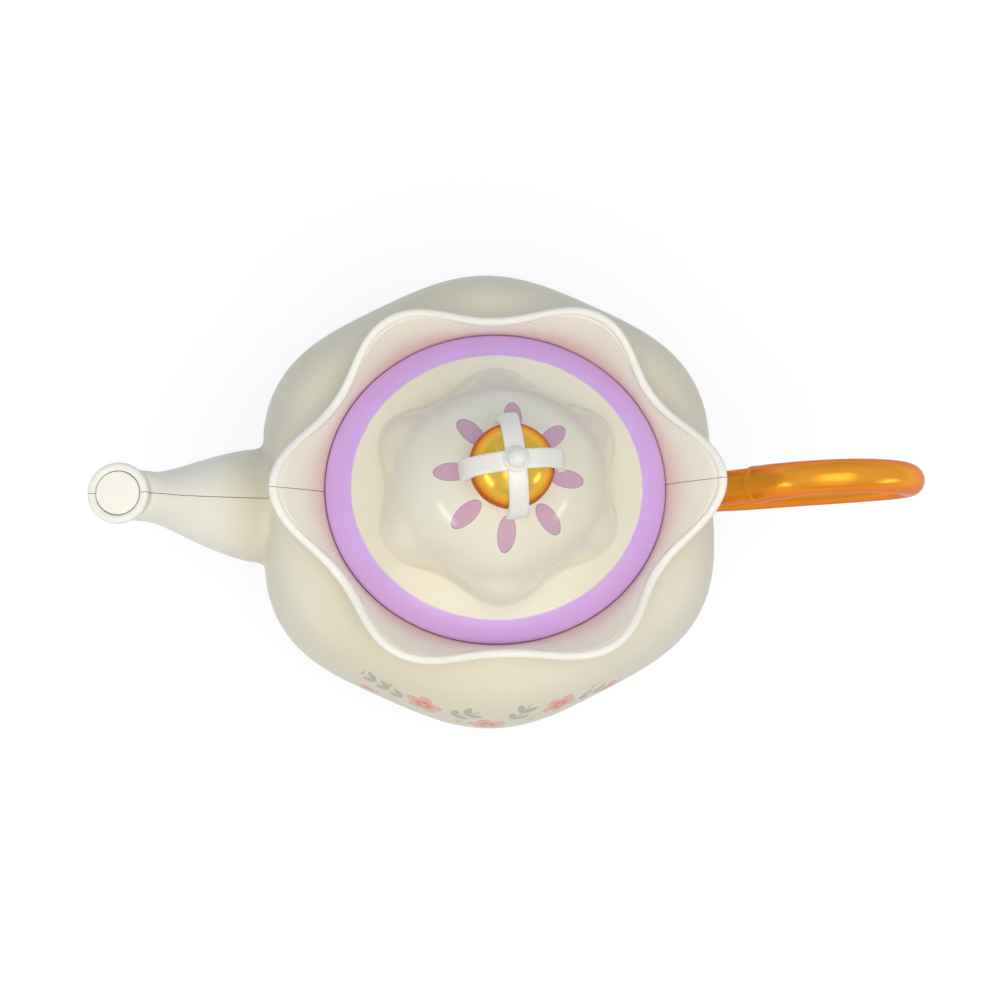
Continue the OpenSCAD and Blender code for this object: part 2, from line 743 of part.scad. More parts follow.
module battery_door_screw() {
    color("#b9bcc0") translate([0, tab_y, plate_low + base_head_h]) mirror([0, 0, 1])
        screw(base_screw_r, door_screw_len, base_head_r, base_head_h);
}

cell_gap = 0.35;
cell_y = cell_r + cell_gap;
nub_r = 1.9;
nub_len = 1.2;

module cell() {
    translate([-cell_len / 2, 0, 0]) rotate([0, 90, 0]) {
        cylinder(h = cell_len - nub_len, r = cell_r);
        cylinder(h = cell_len, r = nub_r);
    }
}

module batteries() {
    color("#5c6068") {
        translate([0, cell_y, cell_z]) cell();
        translate([0, -cell_y, cell_z]) rotate(180) cell();
    }
}

// bent leaf between the bay's end wall and a battery
leaf = 0.5;
contact_gap = 0.05;
link_h = 3;

module contact_leaf(reach) {
    half = cell_r - 2 * leaf;
    rotate([90, 0, 0]) translate([0, 0, -half]) linear_extrude(2 * half)
        polygon([[0, -half], [leaf, -half], [reach, 0], [leaf, half], [0, half], [0, half - leaf],
                 [reach - 2 * leaf, 0], [0, -half + leaf]]);
}

module battery_contacts() {
    inner_x = bay_x - bay_wall - contact_gap;
    reach = inner_x - cell_len / 2 - contact_gap;
    color("#c9ccd0") {
        for (y = [-cell_y, cell_y]) {
            translate([-inner_x, y, cell_z]) contact_leaf(reach);
            translate([inner_x, y, cell_z]) rotate(180) contact_leaf(reach);
        }
        translate([inner_x - leaf, -cell_y, cell_z + cell_r - 2 * leaf - link_h])
            cube([leaf, 2 * cell_y, link_h]);
    }
}

module circuit_board() {
    color("#2f6b3a") difference() {
        translate([-board_x, -board_y, board_z]) cube([2 * board_x, 2 * board_y, board_t]);
        for (p = post_at) translate([p[0], p[1], board_z - cut])
            cylinder(h = board_t + 2 * cut, r = board_screw_r + hole_gap);
    }
}

// drop of resin over the chip
chip_at = [-10, 2];
chip_r = 5;
chip_h = 1.8;

module sound_chip() {
    ball = (chip_r * chip_r + chip_h * chip_h) / (2 * chip_h);
    color("#17181a") translate([chip_at[0], chip_at[1], board_z + board_t]) intersection() {
        translate([0, 0, chip_h - ball]) sphere(r = ball);
        cylinder(h = chip_h + cut, r = chip_r + cut);
    }
}

// turns a profile of radius and depth from the speaker's front round its axis, front towards +Y
module on_speaker_axis() {
    translate([0, speaker_y, speaker_z]) rotate([90, 0, 0]) rotate_extrude() children();
}

cone_r = speaker_r - 2.2;
basket_depth = 6.2;
basket_t = 1;
magnet_r = 11;
magnet_depth = 11;
cone_t = 0.4;
cone_depth = basket_depth - 1.4;
cap_r = 4.6;

module speaker_frame() {
    color("#8b8f94") on_speaker_axis() polygon([
        [cone_r, 0], [speaker_r, 0], [speaker_r, speaker_flange_t], [cone_r + basket_t, speaker_flange_t],
        [magnet_r, basket_depth], [magnet_r, magnet_depth], [0, magnet_depth], [0, basket_depth],
        [magnet_r - basket_t, basket_depth], [cone_r, speaker_flange_t]]);
}

// paper cone with a raised cap in its middle and a rolled edge that reaches the frame
module speaker_cone() {
    edge_r = cone_r - seat_gap;
    roll_r = cone_r - 2.4;
    color("#33363a") on_speaker_axis() polygon([
        [0, cone_depth / 2], [cap_r * 0.8, cone_depth * 0.7], [cap_r, cone_depth], [roll_r, 2 * cone_t],
        [edge_r, cone_t], [edge_r, 2 * cone_t], [roll_r, 3 * cone_t], [cap_r, cone_depth + cone_t],
        [cap_r * 0.8 - cone_t, cone_depth * 0.7 + cone_t], [0, cone_depth / 2 + cone_t]]);
}

module speaker_screws() {
    color("#b9bcc0") for (turn = speaker_screw_turns) let (p = speaker_screw_place(turn))
        translate([p[0], speaker_y - speaker_flange_t, p[1]]) rotate([90, 0, 0])
            screw(speaker_screw_r, speaker_screw_len, speaker_head_r, speaker_head_h);
}

// Tilt switch: a can with a rolling ball, its low end towards the handle
can_r = 3;
can_len = 12;
can_wall = 0.4;
can_end = 0.8;
lead_r = 0.4;
lead_x = 3;
ball_gap = 0.3;
tilt_ball_r = can_r - can_wall - ball_gap;
tilt_at = [10, -8, board_z + board_t + can_len / 2 * sin(tilt_angle) + can_r + hole_gap];
lead_h = tilt_at[2] - board_z - board_t - can_r + can_wall / 2;
tilt_travel = can_len - 2 * can_end - 2 * tilt_ball_r - 2 * ball_gap;

module tilt_switch() {
    color("#c9ccd0") {
        translate(tilt_at) rotate([0, 90 + tilt_angle, 0]) difference() {
            translate([0, 0, -can_len / 2]) cylinder(h = can_len, r = can_r);
            translate([0, 0, -can_len / 2 + can_end])
                cylinder(h = can_len - 2 * can_end, r = can_r - can_wall);
        }
        for (side = [-1, 1]) translate([tilt_at[0] + lead_x * side, tilt_at[1], board_z + board_t])
            cylinder(h = lead_h - lead_x * side * tan(tilt_angle), r = lead_r);
    }
}

module tilt_ball() {
    color("#a9adb2") translate(tilt_at) rotate([0, 90 + tilt_angle, 0])
        translate([0, 0, tilt_travel / 2]) sphere(r = tilt_ball_r);
}

// Power switch: a housing on the base plate with a sliding knob through the slot
switch_x = 14;
switch_w = 7;
switch_h = 6.4;
key_x = 5;
key_w = 5;
key_rise = 1.2;
key_low = plate_top + key_rise;
key_h = 2.6;

module power_switch() {
    color("#9a9ea3") difference() {
        translate([-switch_x / 2, slider_y - switch_w / 2, plate_top]) cube([switch_x, switch_w, switch_h]);
        translate([-(key_x + slider_travel) / 2 - hole_gap, slider_y - key_w / 2 - hole_gap,
                   key_low - hole_gap])
            cube([key_x + slider_travel + 2 * hole_gap, key_w + 2 * hole_gap, key_h + 2 * hole_gap]);
        slider_slot(plate_top - cut, key_low);
    }
}

module power_slider() {
    color("#26282b") translate([-slider_travel / 2, slider_y, 0]) {
        translate([-slider_x / 2, -slider_w / 2, slider_low])
            cube([slider_x, slider_w, key_low - slider_low + sink]);
        translate([-key_x / 2, -key_w / 2, key_low]) cube([key_x, key_w, key_h]);
    }
}

module shell_screws() {
    color("#b9bcc0") for (p = shell_screw_at) translate([p[0], screw_seat_y, p[1]]) rotate([-90, 0, 0])
        screw(shell_screw_r, shell_screw_len, shell_head_r, shell_head_h);
}

module base_screws() {
    color("#b9bcc0") for (p = base_screw_at) translate([p[0], p[1], plate_low + base_head_h])
        mirror([0, 0, 1])
        screw(base_screw_r, base_screw_len, base_head_r, base_head_h);
}

module board_screws() {
    color("#b9bcc0") for (p = post_at) translate([p[0], p[1], board_z + board_t])
        screw(board_screw_r, board_screw_len, 2.3 * board_screw_r, 1.4 * board_screw_r);
}

// Lid
lid_seat_z = ledge_z + bowl_flange_t + seat_gap;
edge_h = 1.9;
edge_round = 0.9;
band_rise = 3.3;
base_rise = 1.5;
lid_edge_z = lid_seat_z + edge_h;
band_in_z = lid_edge_z + band_rise;
dome_z = band_in_z + base_rise;
dome_top = dome_z + dome_h;
edge_w = 5;
stem_r = 2.2;
skirt_r = bowl_top_r - bowl_wall - skirt_gap;
skirt_t = 1.6;
skirt_in_lid = 4.5;
skirt_h = skirt_depth + skirt_in_lid;
hub_r = 5;
hub_h = 5;
hub_low = dome_top - hub_h;

// how fast the dome's lobes fade towards its top
dome_fade = 6;

// one ring of the dome: level runs 0 (base) to 1 (top); inset moves it into the wall
function dome_ring(level, inset) =
    let (out = 1 - level, up = 1 - pow(out, dome_power), ratio = mix(plan_ratio, 1, up * up))
    [for (j = [0 : lid_steps - 1]) let (turn = 360 * j / lid_steps)
     at(turn, (dome_r - inset) * out + dome_lobe * pow(out, dome_fade) * lobes(turn),
        dome_z - inset * 0.9 + (dome_h - inset * 0.1) * up, ratio)];
function lid_ring(radius, height) = [for (j = [0 : lid_steps - 1]) at(360 * j / lid_steps, radius, height)];

module lid_shell() {
    top_level = 0.94;
    outside = concat(
        [lid_ring(lid_r, lid_seat_z), lid_ring(lid_r, lid_edge_z - edge_round),
         lid_ring(lid_r - edge_round / 2, lid_edge_z),
         lid_ring(lid_r - 2 * edge_round, lid_edge_z + edge_round * 0.8), lid_ring(band_in_r, band_in_z)],
        [for (i = [0 : dome_rows]) dome_ring(top_level * i / dome_rows, 0)]);
    inside = concat(
        [for (i = [dome_rows : -1 : 0]) dome_ring(top_level * i / dome_rows, lid_wall)],
        [lid_ring(band_in_r, band_in_z - lid_wall),
         lid_ring(lid_r - edge_w + lid_wall / 4, lid_seat_z + lid_wall / 2),
         lid_ring(lid_r - edge_w, lid_seat_z)]);
    color("#e0dac6") difference() {
        union() {
            hollow_loft(concat(outside, inside));
            difference() {
                translate([0, 0, lid_seat_z - skirt_depth]) cylinder(h = skirt_h, r = skirt_r);
                translate([0, 0, lid_seat_z - skirt_depth - cut])
                    cylinder(h = skirt_h + 2 * cut, r = skirt_r - skirt_t);
            }
            translate([0, 0, hub_low]) cylinder(h = dome_top - hub_low, r = hub_r);
        }
        translate([0, 0, hub_low - cut]) cylinder(h = dome_top - hub_low + 2 * cut, r = stem_r + seat_gap);
    }
}

// Finial
ball_sink = 0.4;
ball_z = dome_top + ball_r - ball_sink;
crown_top = ball_z + crown_r;
stem_gap = 0.6;
stem_low = hub_low + stem_gap;
finial_screw_r = 1.2;
strap_flare = 0.4;
disc_t = 1.5;
disc_rise = 0.5;
disc_edge = 1.2;
finial_screw_len = 11;
finial_head_r = 4;
finial_head_h = 1.8;

module finial_ball() {
    color("#e9c04e") difference() {
        translate([0, 0, ball_z]) sphere(r = ball_r);
        translate([-far / 2, -far / 2, dome_top - far]) cube(far);
        translate([0, 0, ball_z - 2 * ball_r]) cylinder(h = 4 * ball_r, r = stem_r + seat_gap);
    }
}

// plan of two straps in line, wider towards their ends
module strap_outline() {
    half = strap_w / 2;
    start = ball_r * 0.8;
    polygon([for (side = [1, -1]) each side * [[crown_r, -half - strap_flare], [crown_r, half + strap_flare],
                                               [start, half], [-start, half]]]);
}

module finial_crown() {
    strap_low = ball_z - crown_r * 0.45;
    color("#ece9e1") difference() {
        union() {
            intersection() {
                difference() {
                    translate([0, 0, ball_z]) sphere(r = crown_r);
                    translate([0, 0, ball_z]) sphere(r = ball_r + seat_gap);
                }
                for (turn = [0, 90]) rotate(crown_turn + turn) translate([0, 0, strap_low])
                    linear_extrude(2 * crown_r) strap_outline();
            }
            translate([0, 0, crown_top - disc_t + disc_rise]) cylinder(h = disc_t, r = knob_r + disc_edge);
            translate([0, 0, crown_top + knob_r * 0.7]) sphere(r = knob_r);
            translate([0, 0, stem_low]) cylinder(h = crown_top - stem_low, r = stem_r);
        }
        translate([0, 0, stem_low - cut])
            cylinder(h = finial_screw_len + cut, r = finial_screw_r + screw_gap);
    }
}

module finial_screw() {
    color("#b9bcc0") translate([0, 0, hub_low]) mirror([0, 0, 1])
        screw(finial_screw_r, finial_screw_len, finial_head_r, finial_head_h);
}

front_shell();
back_shell();
inner_bowl();
spout_plug();
handle();
base_plate();
battery_door();
battery_door_screw();
batteries();
battery_contacts();
circuit_board();
sound_chip();
speaker_frame();
speaker_cone();
speaker_screws();
tilt_switch();
tilt_ball();
power_switch();
power_slider();
shell_screws();
base_screws();
board_screws();
lid_shell();
finial_ball();
finial_crown();
finial_screw();
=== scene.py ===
"""A toy teapot: smooth moulded shells, a lobed lid with a painted band, a gold handle and a strapped ball."""

import json
import math

import bpy
from mathutils import Matrix, Vector
from mathutils.bvhtree import BVHTree


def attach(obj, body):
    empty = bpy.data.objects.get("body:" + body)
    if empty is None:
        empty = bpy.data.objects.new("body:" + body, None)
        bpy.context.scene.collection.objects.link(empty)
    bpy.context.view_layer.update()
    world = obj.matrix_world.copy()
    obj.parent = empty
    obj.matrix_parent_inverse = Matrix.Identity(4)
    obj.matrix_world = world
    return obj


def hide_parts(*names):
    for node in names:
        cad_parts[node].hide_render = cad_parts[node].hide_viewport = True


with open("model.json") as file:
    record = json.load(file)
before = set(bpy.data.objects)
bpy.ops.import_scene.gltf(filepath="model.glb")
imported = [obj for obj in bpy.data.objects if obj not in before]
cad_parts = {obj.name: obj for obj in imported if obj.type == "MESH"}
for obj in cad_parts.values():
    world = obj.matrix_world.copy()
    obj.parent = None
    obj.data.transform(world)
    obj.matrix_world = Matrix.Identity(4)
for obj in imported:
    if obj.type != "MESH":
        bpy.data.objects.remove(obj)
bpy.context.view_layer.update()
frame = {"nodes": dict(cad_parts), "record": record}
MM = 0.001

# Sizes of the pot in millimetres, the same as in the CAD model
BELLY_R = 67.3
BELLY_Z = 47.0
LOBE_DEPTH = 0.028
PLAN_SQUARE = 0.0175
PLAN_RATIO = 0.91
BELLY_RATIO = 0.96
NECK_Z = 85.0
WALL = 2.2
UPPER_ROUND = 2.6
LOWER_ROUND = 2.0
RIM_TIP_R = 56.3
END_TIP_REACH = 3.6
RIM_DIP_R = 49.8
RIM_TIP_RISE = 17.0
RIM_DIP_RISE = 9.4
BEAD_W = 2.2
LID_R = 45.5
SEAT_R = LID_R + 0.6
NECK_R = SEAT_R + WALL
COLLAR_Z = NECK_Z + 2.6
LEDGE_Z = NECK_Z - 0.6
LEDGE_HOLE_R = LID_R - 3.2
PLATE_HOLE_R = 38.63
FOOT_R = 42.03
FOOT_H = 4.0
SIDE_X = BELLY_R * (1 - LOBE_DEPTH - PLAN_SQUARE)

# Sizes of the lid and the finial
LID_SEAT_Z = LEDGE_Z + 1.7
LID_EDGE_Z = LID_SEAT_Z + 1.9
BAND_IN_R = 38.8
BAND_IN_Z = LID_EDGE_Z + 3.3
DOME_Z = BAND_IN_Z + 1.5
DOME_R = 32.2
DOME_H = 31.2
DOME_LOBE = 2.6
DOME_POWER = 3.0
LID_WALL = 2.4
DOME_TOP = DOME_Z + DOME_H
BALL_R = 10.4
BALL_Z = DOME_TOP + BALL_R - 0.4
CROWN_R = 12.9
CROWN_TURN = 5.0
STRAP_W = 4.7
KNOB_R = 2.4


def cosd(angle):
    return math.cos(math.radians(angle))


def sind(angle):
    return math.sin(math.radians(angle))


def mix(low, high, share):
    return low + (high - low) * share


def at(turn, radius, height, ratio=PLAN_RATIO):
    """A point of the oval plan: turn about the axis, radius along X, height."""
    return (radius * cosd(turn), ratio * radius * sind(turn), height)


def lobes(turn):
    return cosd(6 * (turn - 30))


def tips(turn):
    return (1 + cosd(6 * turn)) / 2


# Modelling helpers
MERGE_WITHIN = 0.000002
SMOOTH_ANGLE = math.radians(40)


def deselect():
    if bpy.context.mode != "OBJECT":
        bpy.ops.object.mode_set(mode="OBJECT")
    bpy.ops.object.select_all(action="DESELECT")


def pick(piece):
    deselect()
    piece.select_set(True)
    bpy.context.view_layer.objects.active = piece


def ring_stack(name, columns, column_of, ends):
    """A circle extruded ring by ring. column_of(turn) lists the place of each ring at that turn, and
    ends says whether the last ring is joined to the first or both are capped."""
    deselect()
    bpy.ops.mesh.primitive_circle_add(vertices=columns, radius=1.0)
    piece = bpy.context.object
    piece.name = name
    places = [column_of(360.0 * k / columns) for k in range(columns)]
    bpy.ops.object.mode_set(mode="EDIT")
    bpy.ops.mesh.select_all(action="SELECT")
    for _ in places[0][1:]:
        bpy.ops.mesh.extrude_region_move(TRANSFORM_OT_translate={"value": (0, 0, 1)})
    bpy.ops.object.mode_set(mode="OBJECT")
    for vertex in piece.data.vertices:
        turn = math.degrees(math.atan2(vertex.co.y, vertex.co.x))
        column = places[round(turn * columns / 360) % columns]
        vertex.co = Vector(column[round(vertex.co.z)]) * MM
    bpy.ops.object.mode_set(mode="EDIT")
    bpy.ops.mesh.select_all(action="DESELECT")
    bpy.ops.mesh.select_mode(type="EDGE")
    bpy.ops.mesh.select_non_manifold(use_wire=False, use_multi_face=False, use_non_contiguous=False,
                                     use_verts=False)
    if ends == "joined":
        bpy.ops.mesh.bridge_edge_loops()
    else:
        bpy.ops.mesh.fill_holes(sides=0)
    bpy.ops.mesh.select_mode(type="VERT")
    tidy_mesh()
    return piece


def tidy_mesh():
    """Merges doubles and turns all faces outwards, in edit mode, then goes back to object mode."""
    bpy.ops.mesh.select_all(action="SELECT")
    bpy.ops.mesh.remove_doubles(threshold=MERGE_WITHIN)
    bpy.ops.mesh.normals_make_consistent(inside=False)
    bpy.ops.object.mode_set(mode="OBJECT")
    bpy.ops.object.shade_smooth_by_angle(angle=SMOOTH_ANGLE)


def combine(piece, other, operation):
    """A boolean of piece with other, which is used up."""
    pick(piece)
    step = piece.modifiers.new("combine", "BOOLEAN")
    step.operation = operation
    step.object = other
    step.solver = "EXACT"
    bpy.ops.object.modifier_apply(modifier=step.name)
    bpy.data.objects.remove(other)


def join(pieces):
    """One object from several, named as the first."""
    pick(pieces[0])
    for piece in pieces[1:]:
        piece.select_set(True)
    bpy.ops.object.join()
    return pieces[0]


def rod(name, start, end, radius, sides=40):
    """A capped rod between two points, for cutting holes."""
    along = (Vector(end) - Vector(start)).normalized()
    side = along.orthogonal().normalized()
    over = along.cross(side)

    def column_of(turn):
        offset = radius * (cosd(turn) * side + sind(turn) * over)
        return [Vector(start) + offset, Vector(end) + offset]

    return ring_stack(name, sides, column_of, "capped")


def turned(profile):
    """The columns of a round piece, from its profile of radius and height."""
    def column_of(turn):
        return [at(turn, radius, height, 1) for radius, height in profile]
    return column_of


def between(stations, share):
    """Smooth run through a list of number rows, share from 0 to the last row's index."""
    last = len(stations) - 1
    i = min(int(share), last - 1)
    t = share - i
    a, b, c, d = (stations[min(max(i + k, 0), last)] for k in (-1, 0, 1, 2))
    return [0.5 * (2 * q + (r - p) * t + (2 * p - 5 * q + 4 * r - s) * t ** 2
                   + (3 * q - p - 3 * r + s) * t ** 3) for p, q, r, s in zip(a, b, c, d)]


def run(stations, splits):
    """The rows of a smooth run, with each step between two stations split."""
    steps = (len(stations) - 1) * splits
    return [between(stations, k / splits) for k in range(steps + 1)]


# The pot: belly, neck, flared collar with its bead, seat of the lid, and the inner wall
COLUMNS = 360
BELLY_ROWS = 22
COLLAR_ROWS = 14
BEAD_R = 1.25
BEAD_ANGLES = range(-30, 211, 20)
NECK_FILLET = 2.0
NECK_ANGLES = (0, 22, 45, 68, 90)
FOOT_ROUND = 0.6
ROUND_MIDDLE = 0.3
SHOULDER_END = 0.93
FIRST_INNER_ROW = 2
TIP_POWER = 1.15
END_TIP_POWER = 12
FLARE_POWER = 1.15


def belly(turn, level, share):
    """share 0 is the inner face of the wall and 1 the outer; level -1 is the foot and 1 the neck."""
    angle = 90 * abs(level)
    power = 2 / (LOWER_ROUND if level < 0 else UPPER_ROUND)
    out = max(cosd(angle), 0) ** power
    along = sind(angle) ** power
    widest = BELLY_R - WALL * (1 - share)
    if level < 0:
        end_r = mix(PLATE_HOLE_R, FOOT_R, share)
        end_z = mix(FOOT_H + WALL, FOOT_H, share)
    else:
        end_r = mix(SEAT_R, NECK_R, share)
        end_z = mix(NECK_Z - WALL, NECK_Z, share)
    swell = BELLY_R * (LOBE_DEPTH * lobes(turn) - PLAN_SQUARE * cosd(4 * turn))
    return at(turn, mix(end_r, widest, out) + swell * out, mix(BELLY_Z, end_z, along),
              mix(PLAN_RATIO, BELLY_RATIO, out))


def rim_r(turn):
    """The six tips, of which the two at the ends reach further."""
    return mix(RIM_DIP_R, RIM_TIP_R, tips(turn) ** TIP_POWER) + END_TIP_REACH * cosd(turn) ** END_TIP_POWER


def rim_z(turn):
    return NECK_Z + mix(RIM_DIP_RISE, RIM_TIP_RISE, tips(turn))


def collar(turn, rise, share):
    """share 0 is the inside of the collar and 1 the outside; rise 0 is the neck and 1 the bead."""
    low_r = mix(SEAT_R, NECK_R, share)
    high_r = rim_r(turn) - BEAD_W * (1 - share)
    height = mix(COLLAR_Z, rim_z(turn) - BEAD_W / 2, rise)
    return at(turn, mix(low_r, high_r, rise ** FLARE_POWER), height)


def bead(turn, angle):
    middle_r = rim_r(turn) - BEAD_W / 2
    middle_z = rim_z(turn) - BEAD_R
    return at(turn, middle_r + BEAD_R * cosd(angle), middle_z + BEAD_R * sind(angle))


def neck_fillet(turn, angle):
    return at(turn, NECK_R + NECK_FILLET * (1 - sind(angle)), NECK_Z + NECK_FILLET * (1 - cosd(angle)))


def pot_column(turn):
    foot = [at(turn, FOOT_R - FOOT_ROUND, 0),
            at(turn, FOOT_R - ROUND_MIDDLE * FOOT_ROUND, ROUND_MIDDLE * FOOT_ROUND),
            at(turn, FOOT_R, FOOT_ROUND)]
    lower = [belly(turn, k / BELLY_ROWS - 1, 1) for k in range(BELLY_ROWS)]
    upper = [belly(turn, SHOULDER_END * k / BELLY_ROWS, 1) for k in range(BELLY_ROWS + 1)]
    neck = [neck_fillet(turn, angle) for angle in NECK_ANGLES]
    outside = [collar(turn, k / COLLAR_ROWS, 1) for k in range(COLLAR_ROWS)]
    rolled = [bead(turn, angle) for angle in BEAD_ANGLES]
    inside = [collar(turn, k / COLLAR_ROWS, 0) for k in range(COLLAR_ROWS - 1, -1, -1)]
    seat = [at(turn, SEAT_R, LEDGE_Z), at(turn, LEDGE_HOLE_R, LEDGE_Z),
            at(turn, LEDGE_HOLE_R, LEDGE_Z - WALL), at(turn, SEAT_R, LEDGE_Z - WALL)]
    inner = [belly(turn, 1 - k / BELLY_ROWS, 0) for k in range(FIRST_INNER_ROW, 2 * BELLY_ROWS + 1)]
    plate_hole = [at(turn, PLATE_HOLE_R, 0)]
    return foot + lower + upper + neck + outside + rolled + inside + seat + inner + plate_hole


# The spout: distance out from the pot's side, height over the widest line, slope, half width, half depth
SPOUT_REACH = 35.0
SPOUT_RISE = 48.8
SPOUT_ROOT_W = 17.2
SPOUT_SPLITS = 5
SPOUT_SIDES = 96
SPOUT_PATH = [(-0.477, -0.123, 30, 1, 1.07), (-0.192, 0.041, 34, 0.965, 1.035),
              (0.056, 0.205, 40, 0.942, 1), (0.261, 0.348, 44, 0.82, 0.88),
              (0.452, 0.484, 46, 0.657, 0.715), (0.618, 0.611, 49, 0.5, 0.555),
              (0.755, 0.732, 54, 0.4, 0.45), (0.86, 0.836, 62, 0.39, 0.42), (0.937, 0.914, 72, 0.39, 0.4)]
LIP_R = 8.0
LIP_SLOPE = 84.0
LIP_X = -SIDE_X - SPOUT_REACH
LIP_Z = BELLY_Z + SPOUT_RISE
PLUG_R = 5.5
# Lip profile: depth below the mouth's plane and radius, over the rolled edge and down into the mouth
LIP_PROFILE = [(4.0, 6.85), (3.3, 7.1), (2.6, 7.5), (1.9, 7.85), (1.3, LIP_R), (0.8, 7.92), (0.35, 7.7),
               (0.08, 7.3), (0, 6.8), (0.05, 6.35), (0.3, PLUG_R + 0.5), (0.7, PLUG_R + 0.35),
               (2.6, PLUG_R + 0.35)]


def spout_ring_point(x, z, slope, half_w, half_d, turn):
    out = half_d * cosd(turn)
    return (x + out * sind(slope), half_w * sind(turn), z + out * cosd(slope))


def mouth_point(depth, radius, turn):
    x = LIP_X + depth * cosd(LIP_SLOPE)
    z = LIP_Z - depth * sind(LIP_SLOPE)
    return spout_ring_point(x, z, LIP_SLOPE, radius, radius, turn)


def spout_column(turn):
    points = []
    for out, rise, slope, half_w, half_d in run(SPOUT_PATH, SPOUT_SPLITS):
        x = -SIDE_X - out * SPOUT_REACH
        z = BELLY_Z + rise * SPOUT_RISE
        points.append(spout_ring_point(x, z, slope, half_w * SPOUT_ROOT_W, half_d * SPOUT_ROOT_W, turn))
    return points + [mouth_point(depth, radius, turn) for depth, radius in LIP_PROFILE]


# Fillet at the root of the spout: the zone in which it lies, its reach, and the smoothing
ROOT_ZONE_X = -45.0
ROOT_ZONE_Z = 88.0
ROOT_FILLET = 4.5
ROOT_SMOOTHING = 0.5
ROOT_PASSES = 14


def surface_of(piece):
    return BVHTree.FromPolygons([v.co.copy() for v in piece.data.vertices],
                                [tuple(p.vertices) for p in piece.data.polygons])


def soften_root(shell, pot_surface, spout_surface, reach):
    """Smooths the crease where the spout leaves the belly into a fillet."""
    bpy.ops.object.mode_set(mode="OBJECT")
    for polygon in shell.data.polygons:
        polygon.select = False
    for edge in shell.data.edges:
        edge.select = False
    for vertex in shell.data.vertices:
        near_spout = vertex.co.x < ROOT_ZONE_X * MM and vertex.co.z < ROOT_ZONE_Z * MM
        vertex.select = False
        if near_spout:
            to_pot = pot_surface.find_nearest(vertex.co)[3]
            to_spout = spout_surface.find_nearest(vertex.co)[3]
            vertex.select = to_pot < reach and to_spout < reach
    bpy.ops.object.mode_set(mode="EDIT")
    bpy.ops.mesh.vertices_smooth(factor=ROOT_SMOOTHING, repeat=ROOT_PASSES)
    bpy.ops.object.mode_set(mode="OBJECT")


# Holes in the shells: grille, screw wells and the roots of the handle
SPEAKER_Z = BELLY_Z + 3.0
GRILLE_HOLE_R = 1.1
GRILLE_PITCH = 5.4
GRILLE_FROM_Y = 45
GRILLE_SIDES = 20
BEHIND_Y = 80
WELL_R = 3.5
WELL_FROM_Y = 20
LOW_WELL = (SIDE_X - 18.2, BELLY_Z - 23.0)
HIGH_WELL = (PLAN_RATIO * LEDGE_HOLE_R + 5.2, BELLY_Z + 11.0)
UPPER_STEP = Vector((SIDE_X - 6.7, 0, NECK_Z - 17.0))
UPPER_WAY = Vector((cosd(45), 0, sind(45)))
LOWER_STEP = Vector((SIDE_X - 5.0, 0, NECK_Z - 34.8))
LOWER_WAY = Vector((cosd(14), 0, sind(14)))
ROOT_R = 4.8
RETURN_R = 4.3
ROOT_CLEAR = 0.3
UPPER_HOLE_OUT = 15
LOWER_HOLE_IN = 5
LOWER_HOLE_OUT = 14


def grille_hole(name, x, z):
    return rod(name, (x, GRILLE_FROM_Y, z), (x, BEHIND_Y, z), GRILLE_HOLE_R, GRILLE_SIDES)


def hole_cutter():
    """One middle hole and two rings of six and twelve for the grille, four wells and two root holes."""
    cutters = [grille_hole("hole_cutter", 0, SPEAKER_Z)]
    for ring in (1, 2):
        for k in range(6 * ring):
            turn = 60 * k / ring + 30
            x = ring * GRILLE_PITCH * cosd(turn)
            z = SPEAKER_Z + ring * GRILLE_PITCH * sind(turn)
            cutters.append(grille_hole("grille_hole", x, z))
    for x, z in (LOW_WELL, HIGH_WELL):
        for side in (1, -1):
            cutters.append(rod("screw_well", (side * x, WELL_FROM_Y, z), (side * x, BEHIND_Y, z), WELL_R))
    upper_end = UPPER_STEP + UPPER_HOLE_OUT * UPPER_WAY
    cutters.append(rod("root_hole", UPPER_STEP, upper_end, ROOT_R + ROOT_CLEAR))
    lower_start = LOWER_STEP - LOWER_HOLE_IN * LOWER_WAY
    lower_end = LOWER_STEP + LOWER_HOLE_OUT * LOWER_WAY
    cutters.append(rod("root_hole", lower_start, lower_end, RETURN_R + ROOT_CLEAR))
    return join(cutters)


SEAM_GAP = 0.09
SEAM_WITHIN = 0.000001


def half_of(shell, name, side):
    """The half of the shell on one side of the mould seam, with its cut closed."""
    pick(shell)
    bpy.ops.object.duplicate()
    half = bpy.context.object
    half.name = name
    bpy.ops.object.mode_set(mode="EDIT")
    bpy.ops.mesh.select_all(action="SELECT")
    bpy.ops.mesh.bisect(plane_co=(0, side * SEAM_GAP * MM, 0), plane_no=(0, 1, 0), use_fill=True,
                        clear_inner=side > 0, clear_outer=side < 0, threshold=SEAM_WITHIN)
    tidy_mesh()
    return half


pot = ring_stack("pot", COLUMNS, pot_column, "joined")
spout = ring_stack("spout", SPOUT_SIDES, spout_column, "capped")
pot_surface = surface_of(pot)
spout_surface = surface_of(spout)
combine(pot, spout, "UNION")
soften_root(pot, pot_surface, spout_surface, ROOT_FILLET * MM)
combine(pot, hole_cutter(), "DIFFERENCE")
front_shell = half_of(pot, "front_half", -1)
back_shell = half_of(pot, "back_half", 1)
bpy.data.objects.remove(pot)
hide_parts("front_shell")
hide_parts("back_shell")

# The disc in the mouth, slightly crowned with a rounded edge: depth below the mouth's plane and radius
ROUND_SIDES = 64
PLUG_PROFILE = [(2.4, PLUG_R + 0.1), (0.5, PLUG_R + 0.1), (0.32, PLUG_R), (0.25, PLUG_R - 0.3),
                (0.2, PLUG_R * 0.7), (0.18, PLUG_R * 0.3)]


